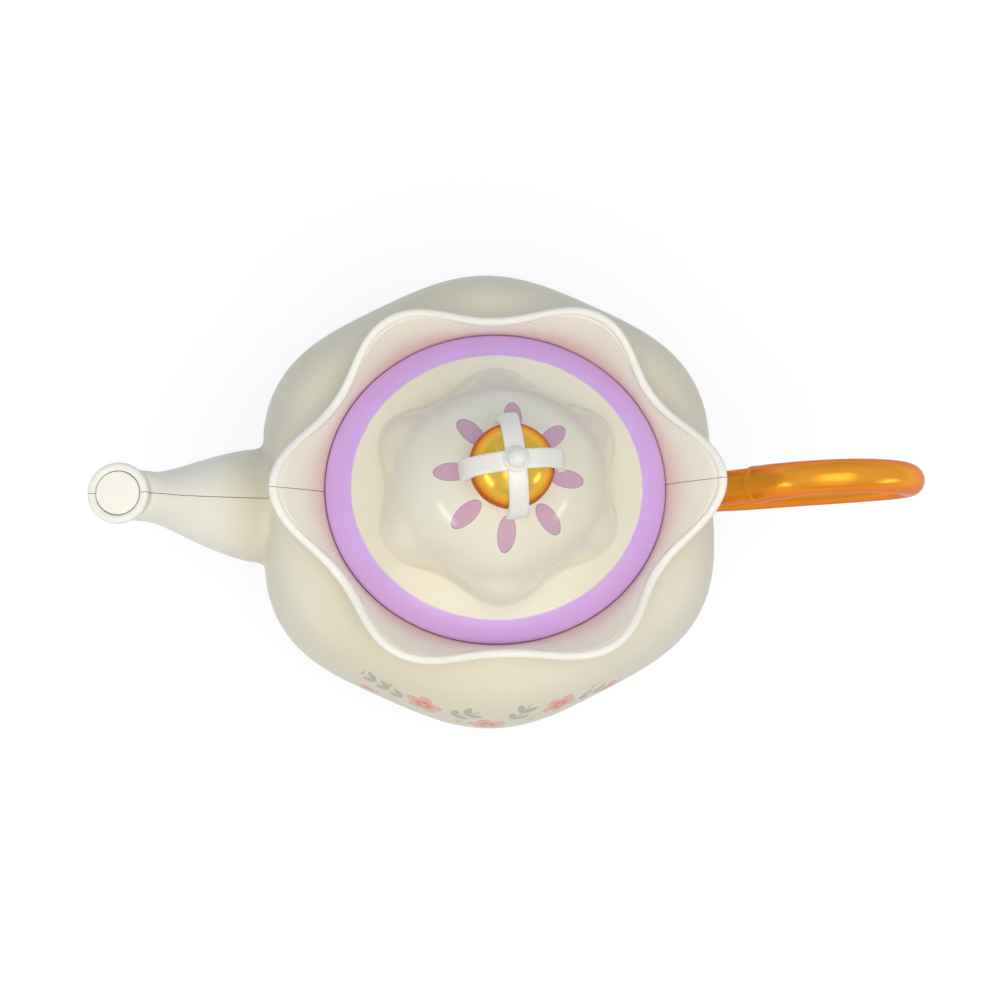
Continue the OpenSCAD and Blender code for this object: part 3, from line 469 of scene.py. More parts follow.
def plug_column(turn):
    return [mouth_point(depth, radius, turn) for depth, radius in PLUG_PROFILE]


spout_plug = ring_stack("mouth_disc", ROUND_SIDES, plug_column, "capped")
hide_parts("spout_plug")

# The handle: a loop with a knuckle where it leaves the upper root
GRIP_R = 4.5
LOOP_REACH = 50.6
LOOP_RISE = 14.8
KNUCKLE_AT = 19.8
LOOP_SPLITS = 8


def loop_station(out, rise, share, extra=0.0):
    """A place on the loop and its radius there: share 1 is the grip and 0 the return."""
    return (SIDE_X + out * LOOP_REACH, NECK_Z + rise * LOOP_RISE, mix(RETURN_R, GRIP_R, share) + extra)


def on_upper(along, radius):
    place = UPPER_STEP + along * UPPER_WAY
    return (place.x, place.z, radius)


def on_lower(along, radius):
    place = LOWER_STEP + along * LOWER_WAY
    return (place.x, place.z, radius)


HANDLE_PATH = [on_upper(0, ROOT_R), on_upper(9, ROOT_R), on_upper(KNUCKLE_AT - 0.9, ROOT_R),
               on_upper(KNUCKLE_AT - 0.3, ROOT_R - 0.1), on_upper(KNUCKLE_AT - 0.05, ROOT_R + 0.32),
               on_upper(KNUCKLE_AT + 0.6, ROOT_R + 0.45), on_upper(KNUCKLE_AT + 2.4, ROOT_R + 0.4),
               loop_station(0.232, 0.243, 1, 0.5), loop_station(0.341, 0.703, 1, 0.15),
               loop_station(0.509, 0.98, 1), loop_station(0.667, 0.959, 1), loop_station(0.831, 0.703, 1),
               loop_station(0.954, 0.27, 0.8), loop_station(1, -0.23, 0.5), loop_station(0.916, -0.682, 0.2),
               loop_station(0.697, -1.176, 0), loop_station(0.46, -1.608, 0),
               on_lower(17, RETURN_R), on_lower(8, RETURN_R), on_lower(0, RETURN_R)]
HANDLE_RUN = run(HANDLE_PATH, LOOP_SPLITS)


def handle_column(turn):
    points = []
    last = len(HANDLE_RUN) - 1
    for i, (x, z, radius) in enumerate(HANDLE_RUN):
        ahead = HANDLE_RUN[min(i + 1, last)]
        behind = HANDLE_RUN[max(i - 1, 0)]
        slope = math.degrees(math.atan2(ahead[1] - behind[1], ahead[0] - behind[0]))
        out = radius * cosd(turn)
        points.append((x + out * sind(slope), radius * sind(turn), z - out * cosd(slope)))
    return points


handle = ring_stack("gold_loop", ROUND_SIDES, handle_column, "capped")
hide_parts("handle")

# The lid: rim with the painted band, lobed dome, wall, and the skirt that goes into the bowl
DOME_ROWS = 40
ROW_CROWDING = 1.6
TOP_LEVEL = 0.94
LOBE_START = 0.0
LOBE_END = 0.165
TIP_FILLET = 0.6
VALLEY_FILLET = 0.9
FILLET_SHARES = (0, 0.17, 0.33, 0.5, 0.67, 0.83)
FOOT_DROP = 0.9
TOP_DROP = 0.1
LID_OUT = LID_R + 0.42
ZONE_R = BAND_IN_R - 1
ZONE_Z = BAND_IN_Z + 0.25
# Rim of the lid in radius and height, from below round its edge and over the band to the plain zone
LID_RIM = [(LID_R - 5, LID_SEAT_Z), (LID_OUT - 0.4, LID_SEAT_Z), (LID_OUT, LID_SEAT_Z + 0.4),
           (LID_OUT, LID_EDGE_Z - 0.5), (LID_OUT - 0.1, LID_EDGE_Z - 0.15),
           (LID_OUT - 0.35, LID_EDGE_Z + 0.12), (LID_OUT - 0.8, LID_EDGE_Z + 0.45),
           (LID_R - 1.9, LID_EDGE_Z + 1.15), (LID_R - 3.2, LID_EDGE_Z + 1.95),
           (LID_R - 4.4, LID_EDGE_Z + 2.5), (BAND_IN_R, BAND_IN_Z), (ZONE_R, ZONE_Z)]
LID_BELOW = [(BAND_IN_R, BAND_IN_Z - LID_WALL), (LID_R - 4.4, LID_SEAT_Z + 1.2)]
BOWL_GAP = 1.0
BOWL_WALL = 1.6
SKIRT_GAP = 0.4
SKIRT_R = PLAN_RATIO * LEDGE_HOLE_R - BOWL_GAP - BOWL_WALL - SKIRT_GAP
SKIRT_WALL = 1.6
SKIRT_EASE = 0.3
SKIRT_LOW = LID_SEAT_Z - 6.4
SKIRT_HIGH = LID_SEAT_Z + 4.5
SKIRT_SIDES = 180
SKIRT_PROFILE = [(SKIRT_R - SKIRT_EASE, SKIRT_LOW), (SKIRT_R, SKIRT_LOW + SKIRT_EASE), (SKIRT_R, SKIRT_HIGH),
                 (SKIRT_R - SKIRT_WALL, SKIRT_HIGH), (SKIRT_R - SKIRT_WALL, SKIRT_LOW + SKIRT_EASE),
                 (SKIRT_R - (SKIRT_WALL - SKIRT_EASE), SKIRT_LOW)]
HUB_R = 5
HUB_HOLE_R = 2.3
HUB_EASE = 0.3
HUB_LOW = DOME_TOP - 5.0
HUB_HIGH = DOME_TOP - 0.3
HUB_PROFILE = [(HUB_HOLE_R, HUB_HIGH), (HUB_HOLE_R, HUB_LOW), (HUB_R - HUB_EASE, HUB_LOW),
               (HUB_R, HUB_LOW + HUB_EASE), (HUB_R, HUB_HIGH)]


def smooth(low, high, value):
    """0 below low and 1 above high, smooth between."""
    share = min(max((value - low) / (high - low), 0), 1)
    return share * share * (3 - 2 * share)


def dome_point(turn, level, inset):
    """The dome is lobed at its foot and round above; inset is the depth under its outer face."""
    out = 1 - level
    up = 1 - out ** DOME_POWER
    lobe = DOME_LOBE * (1 - smooth(LOBE_START, LOBE_END, level))
    radius = (DOME_R - inset) * out + lobe * lobes(turn)
    height = DOME_Z - inset * FOOT_DROP + (DOME_H - inset * TOP_DROP) * up
    return at(turn, radius, height, mix(PLAN_RATIO, 1, up * up))


def dome_fillet(turn):
    return mix(VALLEY_FILLET, TIP_FILLET, (1 + lobes(turn)) / 2)


def dome_base(turn):
    """The fillet between the plain zone of the lid and the foot of the dome: tight at the lobes' tips."""
    size = dome_fillet(turn)
    corner = Vector(dome_point(turn, 0, 0))
    outward = (Vector(at(turn, ZONE_R, ZONE_Z)) - corner).normalized()
    start = corner + size * outward
    end = Vector(dome_point(turn, size / DOME_R, 0))
    return [(1 - t) ** 2 * start + 2 * t * (1 - t) * corner + t * t * end for t in FILLET_SHARES]


def lid_column(turn):
    rim = [at(turn, radius, height) for radius, height in LID_RIM]
    base = dome_base(turn)
    foot = dome_fillet(turn) / DOME_R
    dome = []
    under = []
    for k in range(DOME_ROWS + 1):
        dome.append(dome_point(turn, mix(foot, TOP_LEVEL, (k / DOME_ROWS) ** ROW_CROWDING), 0))
        under.append(dome_point(turn, TOP_LEVEL * (1 - k / DOME_ROWS) ** ROW_CROWDING, LID_WALL))
    below = [at(turn, radius, height) for radius, height in LID_BELOW]
    return rim + base + dome + under + below


lid = join([ring_stack("domed_lid", COLUMNS, lid_column, "joined"),
            ring_stack("lid_skirt", SKIRT_SIDES, turned(SKIRT_PROFILE), "joined"),
            ring_stack("lid_hub", ROUND_SIDES, turned(HUB_PROFILE), "joined")])
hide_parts("lid_shell")

# The finial: ball, crown of four straps with flared ends, disc and knob
STRAP_END = 91.0
STRAP_FLARE_FROM = 55.0
STRAP_FLARE = 0.45
STRAP_CLEAR = 0.1
STRAP_T = CROWN_R - BALL_R - STRAP_CLEAR
STRAP_CORNER = 0.42
STRAP_ROWS = 72
STRAP_SIDES = 28
BALL_ROWS = 60
BALL_SIDES = 96
DISC_R = 3.1
DISC_Z = BALL_Z + CROWN_R + 0.5
KNOB_LOW = BALL_Z + CROWN_R - 1.6
KNOB_Z = BALL_Z + CROWN_R + KNOB_R * 0.7
KNOB_LIFTS = range(-20, 91, 10)
KNOB_PROFILE = [(0.2, KNOB_LOW), (DISC_R, KNOB_LOW), (DISC_R, DISC_Z - 0.4), (DISC_R - 0.2, DISC_Z - 0.1),
                (DISC_R - 0.5, DISC_Z + 0.05), (KNOB_R - 0.2, DISC_Z + 0.15)]
KNOB_PROFILE += [(KNOB_R * cosd(lift), KNOB_Z + KNOB_R * sind(lift)) for lift in KNOB_LIFTS]


def ball_column(turn):
    """From the top of the dome, where the ball is cut flat, up to the ball's own top."""
    low = math.degrees(math.asin((DOME_TOP - BALL_Z) / BALL_R))
    points = []
    for k in range(BALL_ROWS + 1):
        lift = mix(low, 90, k / BALL_ROWS)
        out = BALL_R * cosd(lift)
        points.append((out * cosd(turn), out * sind(turn), BALL_Z + BALL_R * sind(lift)))
    return points


def rounded(share):
    """A share of a half width, moved out into the corners of a strap's section."""
    return math.copysign(abs(share) ** STRAP_CORNER, share)


def strap_column(across):
    """Points along one arch over the ball, at one turn round its rounded section."""
    heading = CROWN_TURN + across
    half_t = STRAP_T / 2

    def column_of(turn):
        points = []
        for k in range(STRAP_ROWS + 1):
            lean = mix(-STRAP_END, STRAP_END, k / STRAP_ROWS)
            flare = max(abs(lean) - STRAP_FLARE_FROM, 0) / (STRAP_END - STRAP_FLARE_FROM)
            side = rounded(cosd(turn)) * (STRAP_W / 2 + STRAP_FLARE * flare)
            radius = BALL_R + STRAP_CLEAR + half_t + rounded(sind(turn)) * half_t
            along = radius * sind(lean)
            points.append((along * cosd(heading) - side * sind(heading),
                           along * sind(heading) + side * cosd(heading), BALL_Z + radius * cosd(lean)))
        return points
    return column_of


ball = ring_stack("gold_ball", BALL_SIDES, ball_column, "capped")
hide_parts("finial_ball")
crown = join([ring_stack("strapped_crown", STRAP_SIDES, strap_column(0), "capped"),
              ring_stack("cross_strap", STRAP_SIDES, strap_column(90), "capped"),
              ring_stack("crown_knob", ROUND_SIDES, turned(KNOB_PROFILE), "capped")])
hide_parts("finial_crown")

for piece in (front_shell, back_shell, spout_plug, handle):
    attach(piece, "pot")
for piece in (lid, ball, crown):
    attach(piece, "lid")


# Node helpers for the finishes
RELIEF_DEPTH = 0.0002


def new_finish(name):
    finish = bpy.data.materials.new(name)
    finish.use_nodes = True
    return finish, finish.node_tree, finish.node_tree.nodes["Principled BSDF"]


def feed(tree, socket, value):
    """Links an output to a socket, or sets a plain value on it."""
    if isinstance(value, bpy.types.NodeSocket):
        tree.links.new(value, socket)
    else:
        socket.default_value = value


def calc(tree, operation, *values):
    node = tree.nodes.new("ShaderNodeMath")
    node.operation = operation
    for socket, value in zip(node.inputs, values):
        feed(tree, socket, value)
    return node.outputs[0]


def step_up(tree, value, low, high):
    """0 below low and 1 above high, smooth between."""
    node = tree.nodes.new("ShaderNodeMapRange")
    node.interpolation_type = "SMOOTHSTEP"
    feed(tree, node.inputs["Value"], value)
    feed(tree, node.inputs["From Min"], low)
    feed(tree, node.inputs["From Max"], high)
    return node.outputs["Result"]


def spread(tree, value, low, high):
    """A value from 0 to 1 spread between low and high."""
    node = tree.nodes.new("ShaderNodeMapRange")
    feed(tree, node.inputs["Value"], value)
    node.inputs["To Min"].default_value = low
    node.inputs["To Max"].default_value = high
    return node.outputs["Result"]


def tint(tree, share, first, second):
    node = tree.nodes.new("ShaderNodeMix")
    node.data_type = "RGBA"
    feed(tree, node.inputs["Factor"], share)
    feed(tree, node.inputs["A"], first)
    feed(tree, node.inputs["B"], second)
    return node.outputs["Result"]


def grain(tree, scale, detail):
    """Noise on the piece's own place, scale in patches per metre."""
    place = tree.nodes.new("ShaderNodeTexCoord").outputs["Object"]
    node = tree.nodes.new("ShaderNodeTexNoise")
    feed(tree, node.inputs["Vector"], place)
    node.inputs["Scale"].default_value = scale
    node.inputs["Detail"].default_value = detail
    return node.outputs["Fac"]


def parts_of(tree, vector):
    node = tree.nodes.new("ShaderNodeSeparateXYZ")
    feed(tree, node.inputs[0], vector)
    return node.outputs


def own_place(tree):
    """The place on the piece along X, Y and Z, in millimetres."""
    place = tree.nodes.new("ShaderNodeTexCoord").outputs["Object"]
    return [calc(tree, "DIVIDE", value, MM) for value in parts_of(tree, place)]


def bumps(tree, shader, height, strength):
    node = tree.nodes.new("ShaderNodeBump")
    node.inputs["Strength"].default_value = strength
    node.inputs["Distance"].default_value = RELIEF_DEPTH
    feed(tree, node.inputs["Height"], height)
    tree.links.new(node.outputs["Normal"], shader.inputs["Normal"])


def colour(red, green, blue):
    """A colour from screen values of 0 to 255."""
    def linear(value):
        share = value / 255
        return share / 12.92 if share <= 0.04045 else ((share + 0.055) / 1.055) ** 2.4
    return (linear(red), linear(green), linear(blue), 1.0)


def dress(piece, finish):
    piece.data.materials.clear()
    piece.data.materials.append(finish)


# Cream plastic of the shells, with white edges, a sprayed blush inside the collar, painted light that pales
# the collar and the spout towards their edges, and a print on the front
CREAM = colour(236, 230, 212)
CREAM_WARM = colour(232, 224, 201)
SHELL_CREAM = colour(229, 222, 204)
SHELL_WARM = colour(226, 217, 193)
BLUSH = colour(240, 168, 172)
WHITE_AND_PAINTED_LIGHT = colour(248, 244, 234)
CREAM_CLOUDS = 22
CLOUD_EDGES = (0.35, 0.65)
GLOSS_PATCHES = 60
GLOSS_VARIES = 0.05
MOULD_GRAIN = 900
MOULD_RELIEF = 0.03
SHELL_ROUGH = 0.34
SHELL_GLOSS = 0.2


def moulded_cream(name, rough, gloss, pale, warm):
    """The finish with its node tree, its shader and the cream base that paint goes over."""
    finish, tree, shader = new_finish(name)
    cloud = step_up(tree, grain(tree, CREAM_CLOUDS, 2), *CLOUD_EDGES)
    base = tint(tree, cloud, pale, warm)
    patches = grain(tree, GLOSS_PATCHES, 2)
    feed(tree, shader.inputs["Roughness"], spread(tree, patches, rough, rough + GLOSS_VARIES))
    shader.inputs["Specular IOR Level"].default_value = gloss
    bumps(tree, shader, grain(tree, MOULD_GRAIN, 2), MOULD_RELIEF)
    return finish, tree, shader, base


def painted_on(tree, name):
    """A value or a place that is kept on the mesh."""
    node = tree.nodes.new("ShaderNodeAttribute")
    node.attribute_name = name
    return node.outputs


# The front print, in millimetres across the front lobe and up from the widest line
CORAL_DEEP = colour(216, 84, 82)
CORAL_PALE = colour(243, 178, 160)
OUTLINE_GREY = colour(168, 150, 140)
LEAF_GREY = colour(178, 178, 164)
BERRY_YELLOW = colour(222, 192, 84)
PRINT_COVER = 0.85
BLOSSOM_PETALS = 5
BLOSSOM_NOTCH = 0.36
BLOSSOM_SHADE = (0.1, 0.8)
BLOSSOM_OUTLINE = (0.82, 0.94)
OUTLINE_COVER = 0.6
BLOSSOM_MIDDLE = (0.14, 0.22)
BLOSSOM_EDGE = (0.94, 1.0)
LEAF_EDGE = (0.85, 1.0)
STEM_EDGE = (0.15, 0.3)
BERRY_EDGE = 0.85
# Blossoms: across, up, radius and turn
BLOSSOMS = [(-21, 25, 5.4, 10), (-3, 19, 5.8, 30), (17, 26, 5.0, 50), (33, 20, 4.2, 5), (-38, 16, 4.0, 20),
            (8, 5, 5.6, 15), (-15, 7, 4.8, 40)]
# Sprigs: across, up, turn and length
SPRIGS = [(-27, 24, 160, 14), (-13, 24, 35, 9), (4, 24, 60, 9), (23, 24, -12, 8.5), (15, 12, -30, 13),
          (-22, 10, 195, 13)]
# Berries: across, up and radius
BERRIES = [(-11, 19, 1.2), (-9, 16, 1), (9, 21, 1.2), (6, 15, 1), (27, 28, 1), (25, 17, 1.1), (-31, 29, 1),
           (-30, 17, 1.1)]
LEAF_LENGTH = 5.0
LEAF_WIDTH = 1.2
LEAF_PITCH = 4.4
LEAF_LEAN = 38.0


def turned_place(tree, first, second, turn):
    """Two values of a place, along and aside of a direction."""
    along = calc(tree, "MULTIPLY_ADD", first, cosd(turn), calc(tree, "MULTIPLY", second, sind(turn)))
    aside = calc(tree, "MULTIPLY_ADD", first, -sind(turn), calc(tree, "MULTIPLY", second, cosd(turn)))
    return along, aside


def from_middle(tree, place, across, up, turn):
    """Place of a point along and aside of a motif."""
    du = calc(tree, "SUBTRACT", place[0], across)
    dv = calc(tree, "SUBTRACT", place[1], up)
    return turned_place(tree, du, dv, turn)


def squares(tree, first, second):
    """The sum of the squares of two values."""
    return calc(tree, "MULTIPLY_ADD", first, first, calc(tree, "MULTIPLY", second, second))


def length_of(tree, first, second):
    return calc(tree, "SQRT", squares(tree, first, second))


def within(tree, value, low, high):
    """1 below low and 0 above high, smooth between."""
    return calc(tree, "SUBTRACT", 1.0, step_up(tree, value, low, high))


def print_blossom(tree, painted, place, across, up, radius, turn):
    along, aside = from_middle(tree, place, across, up, turn)
    reach = calc(tree, "DIVIDE", length_of(tree, along, aside), radius)
    angle = calc(tree, "MULTIPLY", calc(tree, "ARCTAN2", aside, along), BLOSSOM_PETALS / 2)
    wave = calc(tree, "ABSOLUTE", calc(tree, "COSINE", angle))
    edge = calc(tree, "MULTIPLY_ADD", wave, BLOSSOM_NOTCH, 1 - BLOSSOM_NOTCH)
    out = calc(tree, "DIVIDE", reach, edge)
    petal = tint(tree, step_up(tree, out, *BLOSSOM_SHADE), CORAL_DEEP, CORAL_PALE)
    outline = calc(tree, "MULTIPLY", step_up(tree, out, *BLOSSOM_OUTLINE), OUTLINE_COVER)
    petal = tint(tree, outline, petal, OUTLINE_GREY)
    petal = tint(tree, within(tree, reach, *BLOSSOM_MIDDLE), petal, BERRY_YELLOW)
    cover = calc(tree, "MULTIPLY", within(tree, out, *BLOSSOM_EDGE), PRINT_COVER)
    return tint(tree, cover, painted, petal)


def print_sprig(tree, painted, place, across, up, turn, length):
    """A stem with pairs of leaves that lean forward."""
    along, aside = from_middle(tree, place, across, up, turn)
    side = calc(tree, "ABSOLUTE", aside)
    past_start = calc(tree, "GREATER_THAN", along, 0.0)
    on_stem = calc(tree, "MULTIPLY", past_start, calc(tree, "LESS_THAN", along, length))
    ahead = calc(tree, "MODULO", along, LEAF_PITCH)
    leaf_along, leaf_aside = turned_place(tree, ahead, side, LEAF_LEAN)
    leaf_along = calc(tree, "SUBTRACT", leaf_along, LEAF_LENGTH / 2)
    leaf_along = calc(tree, "DIVIDE", leaf_along, LEAF_LENGTH / 2)
    leaf_aside = calc(tree, "DIVIDE", calc(tree, "ABSOLUTE", leaf_aside), LEAF_WIDTH)
    form = calc(tree, "MULTIPLY_ADD", leaf_along, leaf_along, leaf_aside)
    cover = calc(tree, "MAXIMUM", within(tree, form, *LEAF_EDGE), within(tree, side, *STEM_EDGE))
    cover = calc(tree, "MULTIPLY", calc(tree, "MULTIPLY", cover, on_stem), PRINT_COVER)
    return tint(tree, cover, painted, LEAF_GREY)


def print_berry(tree, painted, place, across, up, radius):
    along, aside = from_middle(tree, place, across, up, 0)
    cover = within(tree, length_of(tree, along, aside), BERRY_EDGE * radius, radius)
    return tint(tree, calc(tree, "MULTIPLY", cover, PRINT_COVER), painted, BERRY_YELLOW)


def sprayed_cream():
    finish, tree, shader, painted = moulded_cream("cream_shell", SHELL_ROUGH, SHELL_GLOSS, SHELL_CREAM,
                                                  SHELL_WARM)
    place = parts_of(tree, painted_on(tree, "print_place")["Vector"])
    for sprig in SPRIGS:
        painted = print_sprig(tree, painted, place, *sprig)
    for blossom in BLOSSOMS:
        painted = print_blossom(tree, painted, place, *blossom)
    for berry in BERRIES:
        painted = print_berry(tree, painted, place, *berry)
    painted = tint(tree, painted_on(tree, "blush")["Fac"], painted, BLUSH)
    # White bead and lip, and painted light paling the collar and the spout towards them
    painted = tint(tree, painted_on(tree, "white_edge_and_light")["Fac"], painted, WHITE_AND_PAINTED_LIGHT)
    feed(tree, shader.inputs["Base Color"], painted)
    return finish


# Where the shells are painted: shares of the blush and of the white with its painted light, and places in
# millimetres
BLUSH_MOST = 0.38
BLUSH_END = 0.85
BLUSH_FADE = 1.6
# Painted light up the inside of the collar and along the spout towards its lip
COLLAR_PAINTED_LIGHT = 0.6
COLLAR_PAINTED_LIGHT_ALL = 0.7
SPOUT_PAINTED_LIGHT = 0.8
SPOUT_PAINTED_LIGHT_FROM = 64.0
SPOUT_PAINTED_LIGHT_ALL = 78.0
BEAD_PAINT_R = 1.1 * BEAD_R
LIP_PAINT_DEPTH = 2.7
COLLAR_LOW_Z = LEDGE_Z - 0.5
PRINT_FRONT_Y = -20
PRINT_TOP_Z = NECK_Z - 0.5
NO_PRINT = (500.0, 500.0, 0.0)
LEAST_STEP = 0.0001
FRONT_ROWS = 120
FRONT_LINE = [belly(-90, k / FRONT_ROWS, 1) for k in range(-FRONT_ROWS, FRONT_ROWS + 1)]


def up_the_front(z):
    """Length along the front of the belly from its widest line to a height."""
    total = 0.0
    first = FRONT_ROWS if z > BELLY_Z else 0
    for low, high in zip(FRONT_LINE[first:], FRONT_LINE[first + 1:]):
        part = min(max((z - low[2]) / max(high[2] - low[2], LEAST_STEP), 0), 1)
        total += part * math.dist(low, high)
        if high[2] > z:
            break
    if z > BELLY_Z:
        return total
    lower_half = zip(FRONT_LINE, FRONT_LINE[1:FRONT_ROWS + 1])
    return total - sum(math.dist(low, high) for low, high in lower_half)


def collar_rise(turn, radius, z):
    """How far up the inside of the collar a point is, or -1 away from it."""
    rise = min(max((z - COLLAR_Z) / (rim_z(turn) - BEAD_W / 2 - COLLAR_Z), 0), 1)
    middle = (Vector(collar(turn, rise, 0)) + Vector(collar(turn, rise, 1))) / 2
    if z < COLLAR_LOW_Z or radius > math.hypot(middle.x, middle.y / PLAN_RATIO):
        return -1
    return rise


def blush_at(rise):
    """Most beside the lid, fading up the inside of the collar."""
    if rise < 0:
        return 0.0
    return max(0.0, 1 - rise / BLUSH_END) ** BLUSH_FADE * BLUSH_MOST


def white_and_light_at(place, turn, radius, rise):
    """The bead round the collar and the rolled lip of the spout are white, and both the collar and the
    spout get painted light that pales them towards these edges."""
    to_bead = math.hypot(radius - rim_r(turn) + BEAD_W / 2, place.z - rim_z(turn) + BEAD_R)
    from_lip = place - Vector((LIP_X, 0, LIP_Z))
    depth = from_lip.x * cosd(LIP_SLOPE) - from_lip.z * sind(LIP_SLOPE)
    if to_bead < BEAD_PAINT_R or (abs(from_lip.x) < 2 * LIP_R and depth < LIP_PAINT_DEPTH):
        return 1.0
    # Painted light: the collar pales towards its bead and the spout towards its lip
    collar_painted_light = COLLAR_PAINTED_LIGHT * smooth(0.0, COLLAR_PAINTED_LIGHT_ALL, rise)
    spout_painted_light = SPOUT_PAINTED_LIGHT * smooth(SPOUT_PAINTED_LIGHT_FROM, SPOUT_PAINTED_LIGHT_ALL, -place.x)
    return max(collar_painted_light, spout_painted_light)


def print_at(vertex, place):
    """Place in the print's own plane, or far outside it away from the front."""
    facing_out = vertex.normal.y < 0 and vertex.normal.x * place.x + vertex.normal.y * place.y > 0
    if place.y > PRINT_FRONT_Y or place.z > PRINT_TOP_Z or not facing_out:
        return NO_PRINT
    angle = math.atan2(place.x, -place.y)
    return (angle * math.hypot(place.x, place.y), up_the_front(place.z), 0.0)


def paint_shell(shell):
    blush = []
    edges = []
    places = []
    for vertex in shell.data.vertices:
        place = vertex.co / MM
        turn = math.degrees(math.atan2(place.y / PLAN_RATIO, place.x))
        radius = math.hypot(place.x, place.y / PLAN_RATIO)
        rise = collar_rise(turn, radius, place.z)
        blush.append(blush_at(rise))
        edges.append(white_and_light_at(place, turn, radius, rise))
        places.extend(print_at(vertex, place))
    shell.data.attributes.new("blush", "FLOAT", "POINT").data.foreach_set("value", blush)
    shell.data.attributes.new("white_edge_and_light", "FLOAT", "POINT").data.foreach_set("value", edges)
    shell.data.attributes.new("print_place", "FLOAT_VECTOR", "POINT").data.foreach_set("vector", places)


shell_finish = sprayed_cream()
for shell in (front_shell, back_shell):
    paint_shell(shell)
    dress(shell, shell_finish)

# Disc in the mouth: the same cream, nearly white
DISC_ROUGH = 0.3
DISC_GLOSS = 0.3
DISC_WHITE = colour(255, 252, 240)
DISC_WHITENESS = 0.75


def bright_disc():
    finish, tree, shader, base = moulded_cream("bright_disc", DISC_ROUGH, DISC_GLOSS, CREAM, CREAM_WARM)
    feed(tree, shader.inputs["Base Color"], tint(tree, DISC_WHITENESS, base, DISC_WHITE))
    return finish


dress(spout_plug, bright_disc())

# Lid: cream with the lavender band and eight petals
LID_ROUGH = 0.17
LID_GLOSS = 0.5
LAVENDER = colour(212, 168, 234)
LAVENDER_PALE = colour(219, 178, 238)
LAVENDER_PATCHES = 60
BAND_PAINT_FROM = BAND_IN_R - 0.1
BAND_PAINT_ALL = BAND_IN_R + 0.5
BAND_PAINT_LOW = LID_SEAT_Z + 0.1
RAGGED = 0.4
RAGGED_PATCHES = 260
LID_PETALS = 8
PETAL = colour(206, 164, 184)
PETAL_SPARKLE = colour(236, 208, 216)
PETAL_OUTLINE = colour(150, 112, 140)
PETAL_TURN = -4.6
PETAL_AT = 14.5
PETAL_MIDDLE = (0.6, -0.7)
PETAL_LONG = 4.5
PETAL_WIDE = 2.3
PETAL_LOW_Z = DOME_Z + 10.0
PETAL_EDGE = (0.94, 1.04)
PETAL_OUTLINE_EDGE = (0.85, 0.92)
PETAL_OUTLINE_COVER = 0.7
SPARKLES = 2600
SPARKLE_EDGES = (0.6, 0.75)
SPARKLE_COVER = 0.35


def band_cover(tree, x, y, z):
    """The painted band, with a slightly ragged inner edge, and not on the underside of the rim."""
    reach = length_of(tree, x, calc(tree, "DIVIDE", y, PLAN_RATIO))
    ragged = calc(tree, "MULTIPLY_ADD", grain(tree, RAGGED_PATCHES, 2), RAGGED, -RAGGED / 2)
    band = step_up(tree, calc(tree, "ADD", reach, ragged), BAND_PAINT_FROM, BAND_PAINT_ALL)
    return calc(tree, "MULTIPLY", band, calc(tree, "GREATER_THAN", z, BAND_PAINT_LOW))


def petal_oval(tree, x, y):
    """1 on the outline of the nearest petal and less inside it."""
    petal_x = calc(tree, "SUBTRACT", x, PETAL_MIDDLE[0])
    petal_y = calc(tree, "SUBTRACT", y, PETAL_MIDDLE[1])
    radius = length_of(tree, petal_x, petal_y)
    turn = calc(tree, "SUBTRACT", calc(tree, "ARCTAN2", petal_y, petal_x), math.radians(PETAL_TURN))
    half_share = math.pi / LID_PETALS
    turn = calc(tree, "WRAP", turn, half_share, -half_share)
    along = calc(tree, "SUBTRACT", calc(tree, "MULTIPLY", radius, calc(tree, "COSINE", turn)), PETAL_AT)
    across = calc(tree, "MULTIPLY", radius, calc(tree, "SINE", turn))
    return squares(tree, calc(tree, "DIVIDE", along, PETAL_LONG), calc(tree, "DIVIDE", across, PETAL_WIDE))


def painted_lid():
    finish, tree, shader, base = moulded_cream("painted_lid", LID_ROUGH, LID_GLOSS, CREAM, CREAM_WARM)
    x, y, z = own_place(tree)
    oval = petal_oval(tree, x, y)
    petal = within(tree, oval, *PETAL_EDGE)
    petal = calc(tree, "MULTIPLY", petal, calc(tree, "GREATER_THAN", z, PETAL_LOW_Z))
    outline = calc(tree, "MULTIPLY", step_up(tree, oval, *PETAL_OUTLINE_EDGE), PETAL_OUTLINE_COVER)
    sparkle = step_up(tree, grain(tree, SPARKLES, 1), *SPARKLE_EDGES)
    print_colour = tint(tree, calc(tree, "MULTIPLY", sparkle, SPARKLE_COVER), PETAL, PETAL_SPARKLE)
    print_colour = tint(tree, outline, print_colour, PETAL_OUTLINE)
    lavender = tint(tree, grain(tree, LAVENDER_PATCHES, 2), LAVENDER, LAVENDER_PALE)
    painted = tint(tree, petal, base, print_colour)
    feed(tree, shader.inputs["Base Color"], tint(tree, band_cover(tree, x, y, z), painted, lavender))
    return finish


dress(lid, painted_lid())


# Metallic gold lacquer with fine flakes, and painted shade and light: deeper towards the foot of the ball and
# down the sides of the loop, brighter on top
GOLD_RIM = colour(216, 128, 44)
GOLD_GLOSS = 0.3
GOLD_ROUGH = (0.19, 0.25)
GOLD_PATCHES = 240
GOLD_CLOUDS = 60
GOLD_CLOUDINESS = 0.3
FLAKES = 3200
FLAKE_EDGES = (0.42, 0.68)
FLAKE_COVER = 0.2
FLAKE_RELIEF = 0.05
# Handle colours: the deep one is painted shade, the bright one painted light
HANDLE_SHADED = colour(236, 132, 30)
HANDLE_LIT = colour(250, 166, 54)
HANDLE_METAL = 0.5
HANDLE_SHADE_FROM = 0.2 * GRIP_R
# Ball colours: the deep one is painted shade, the bright one painted light
BALL_SHADED = colour(206, 120, 16)
BALL_LIT = colour(250, 204, 84)
BALL_METAL = 0.7
BALL_SHADE_EDGES = (0.1, 0.95)


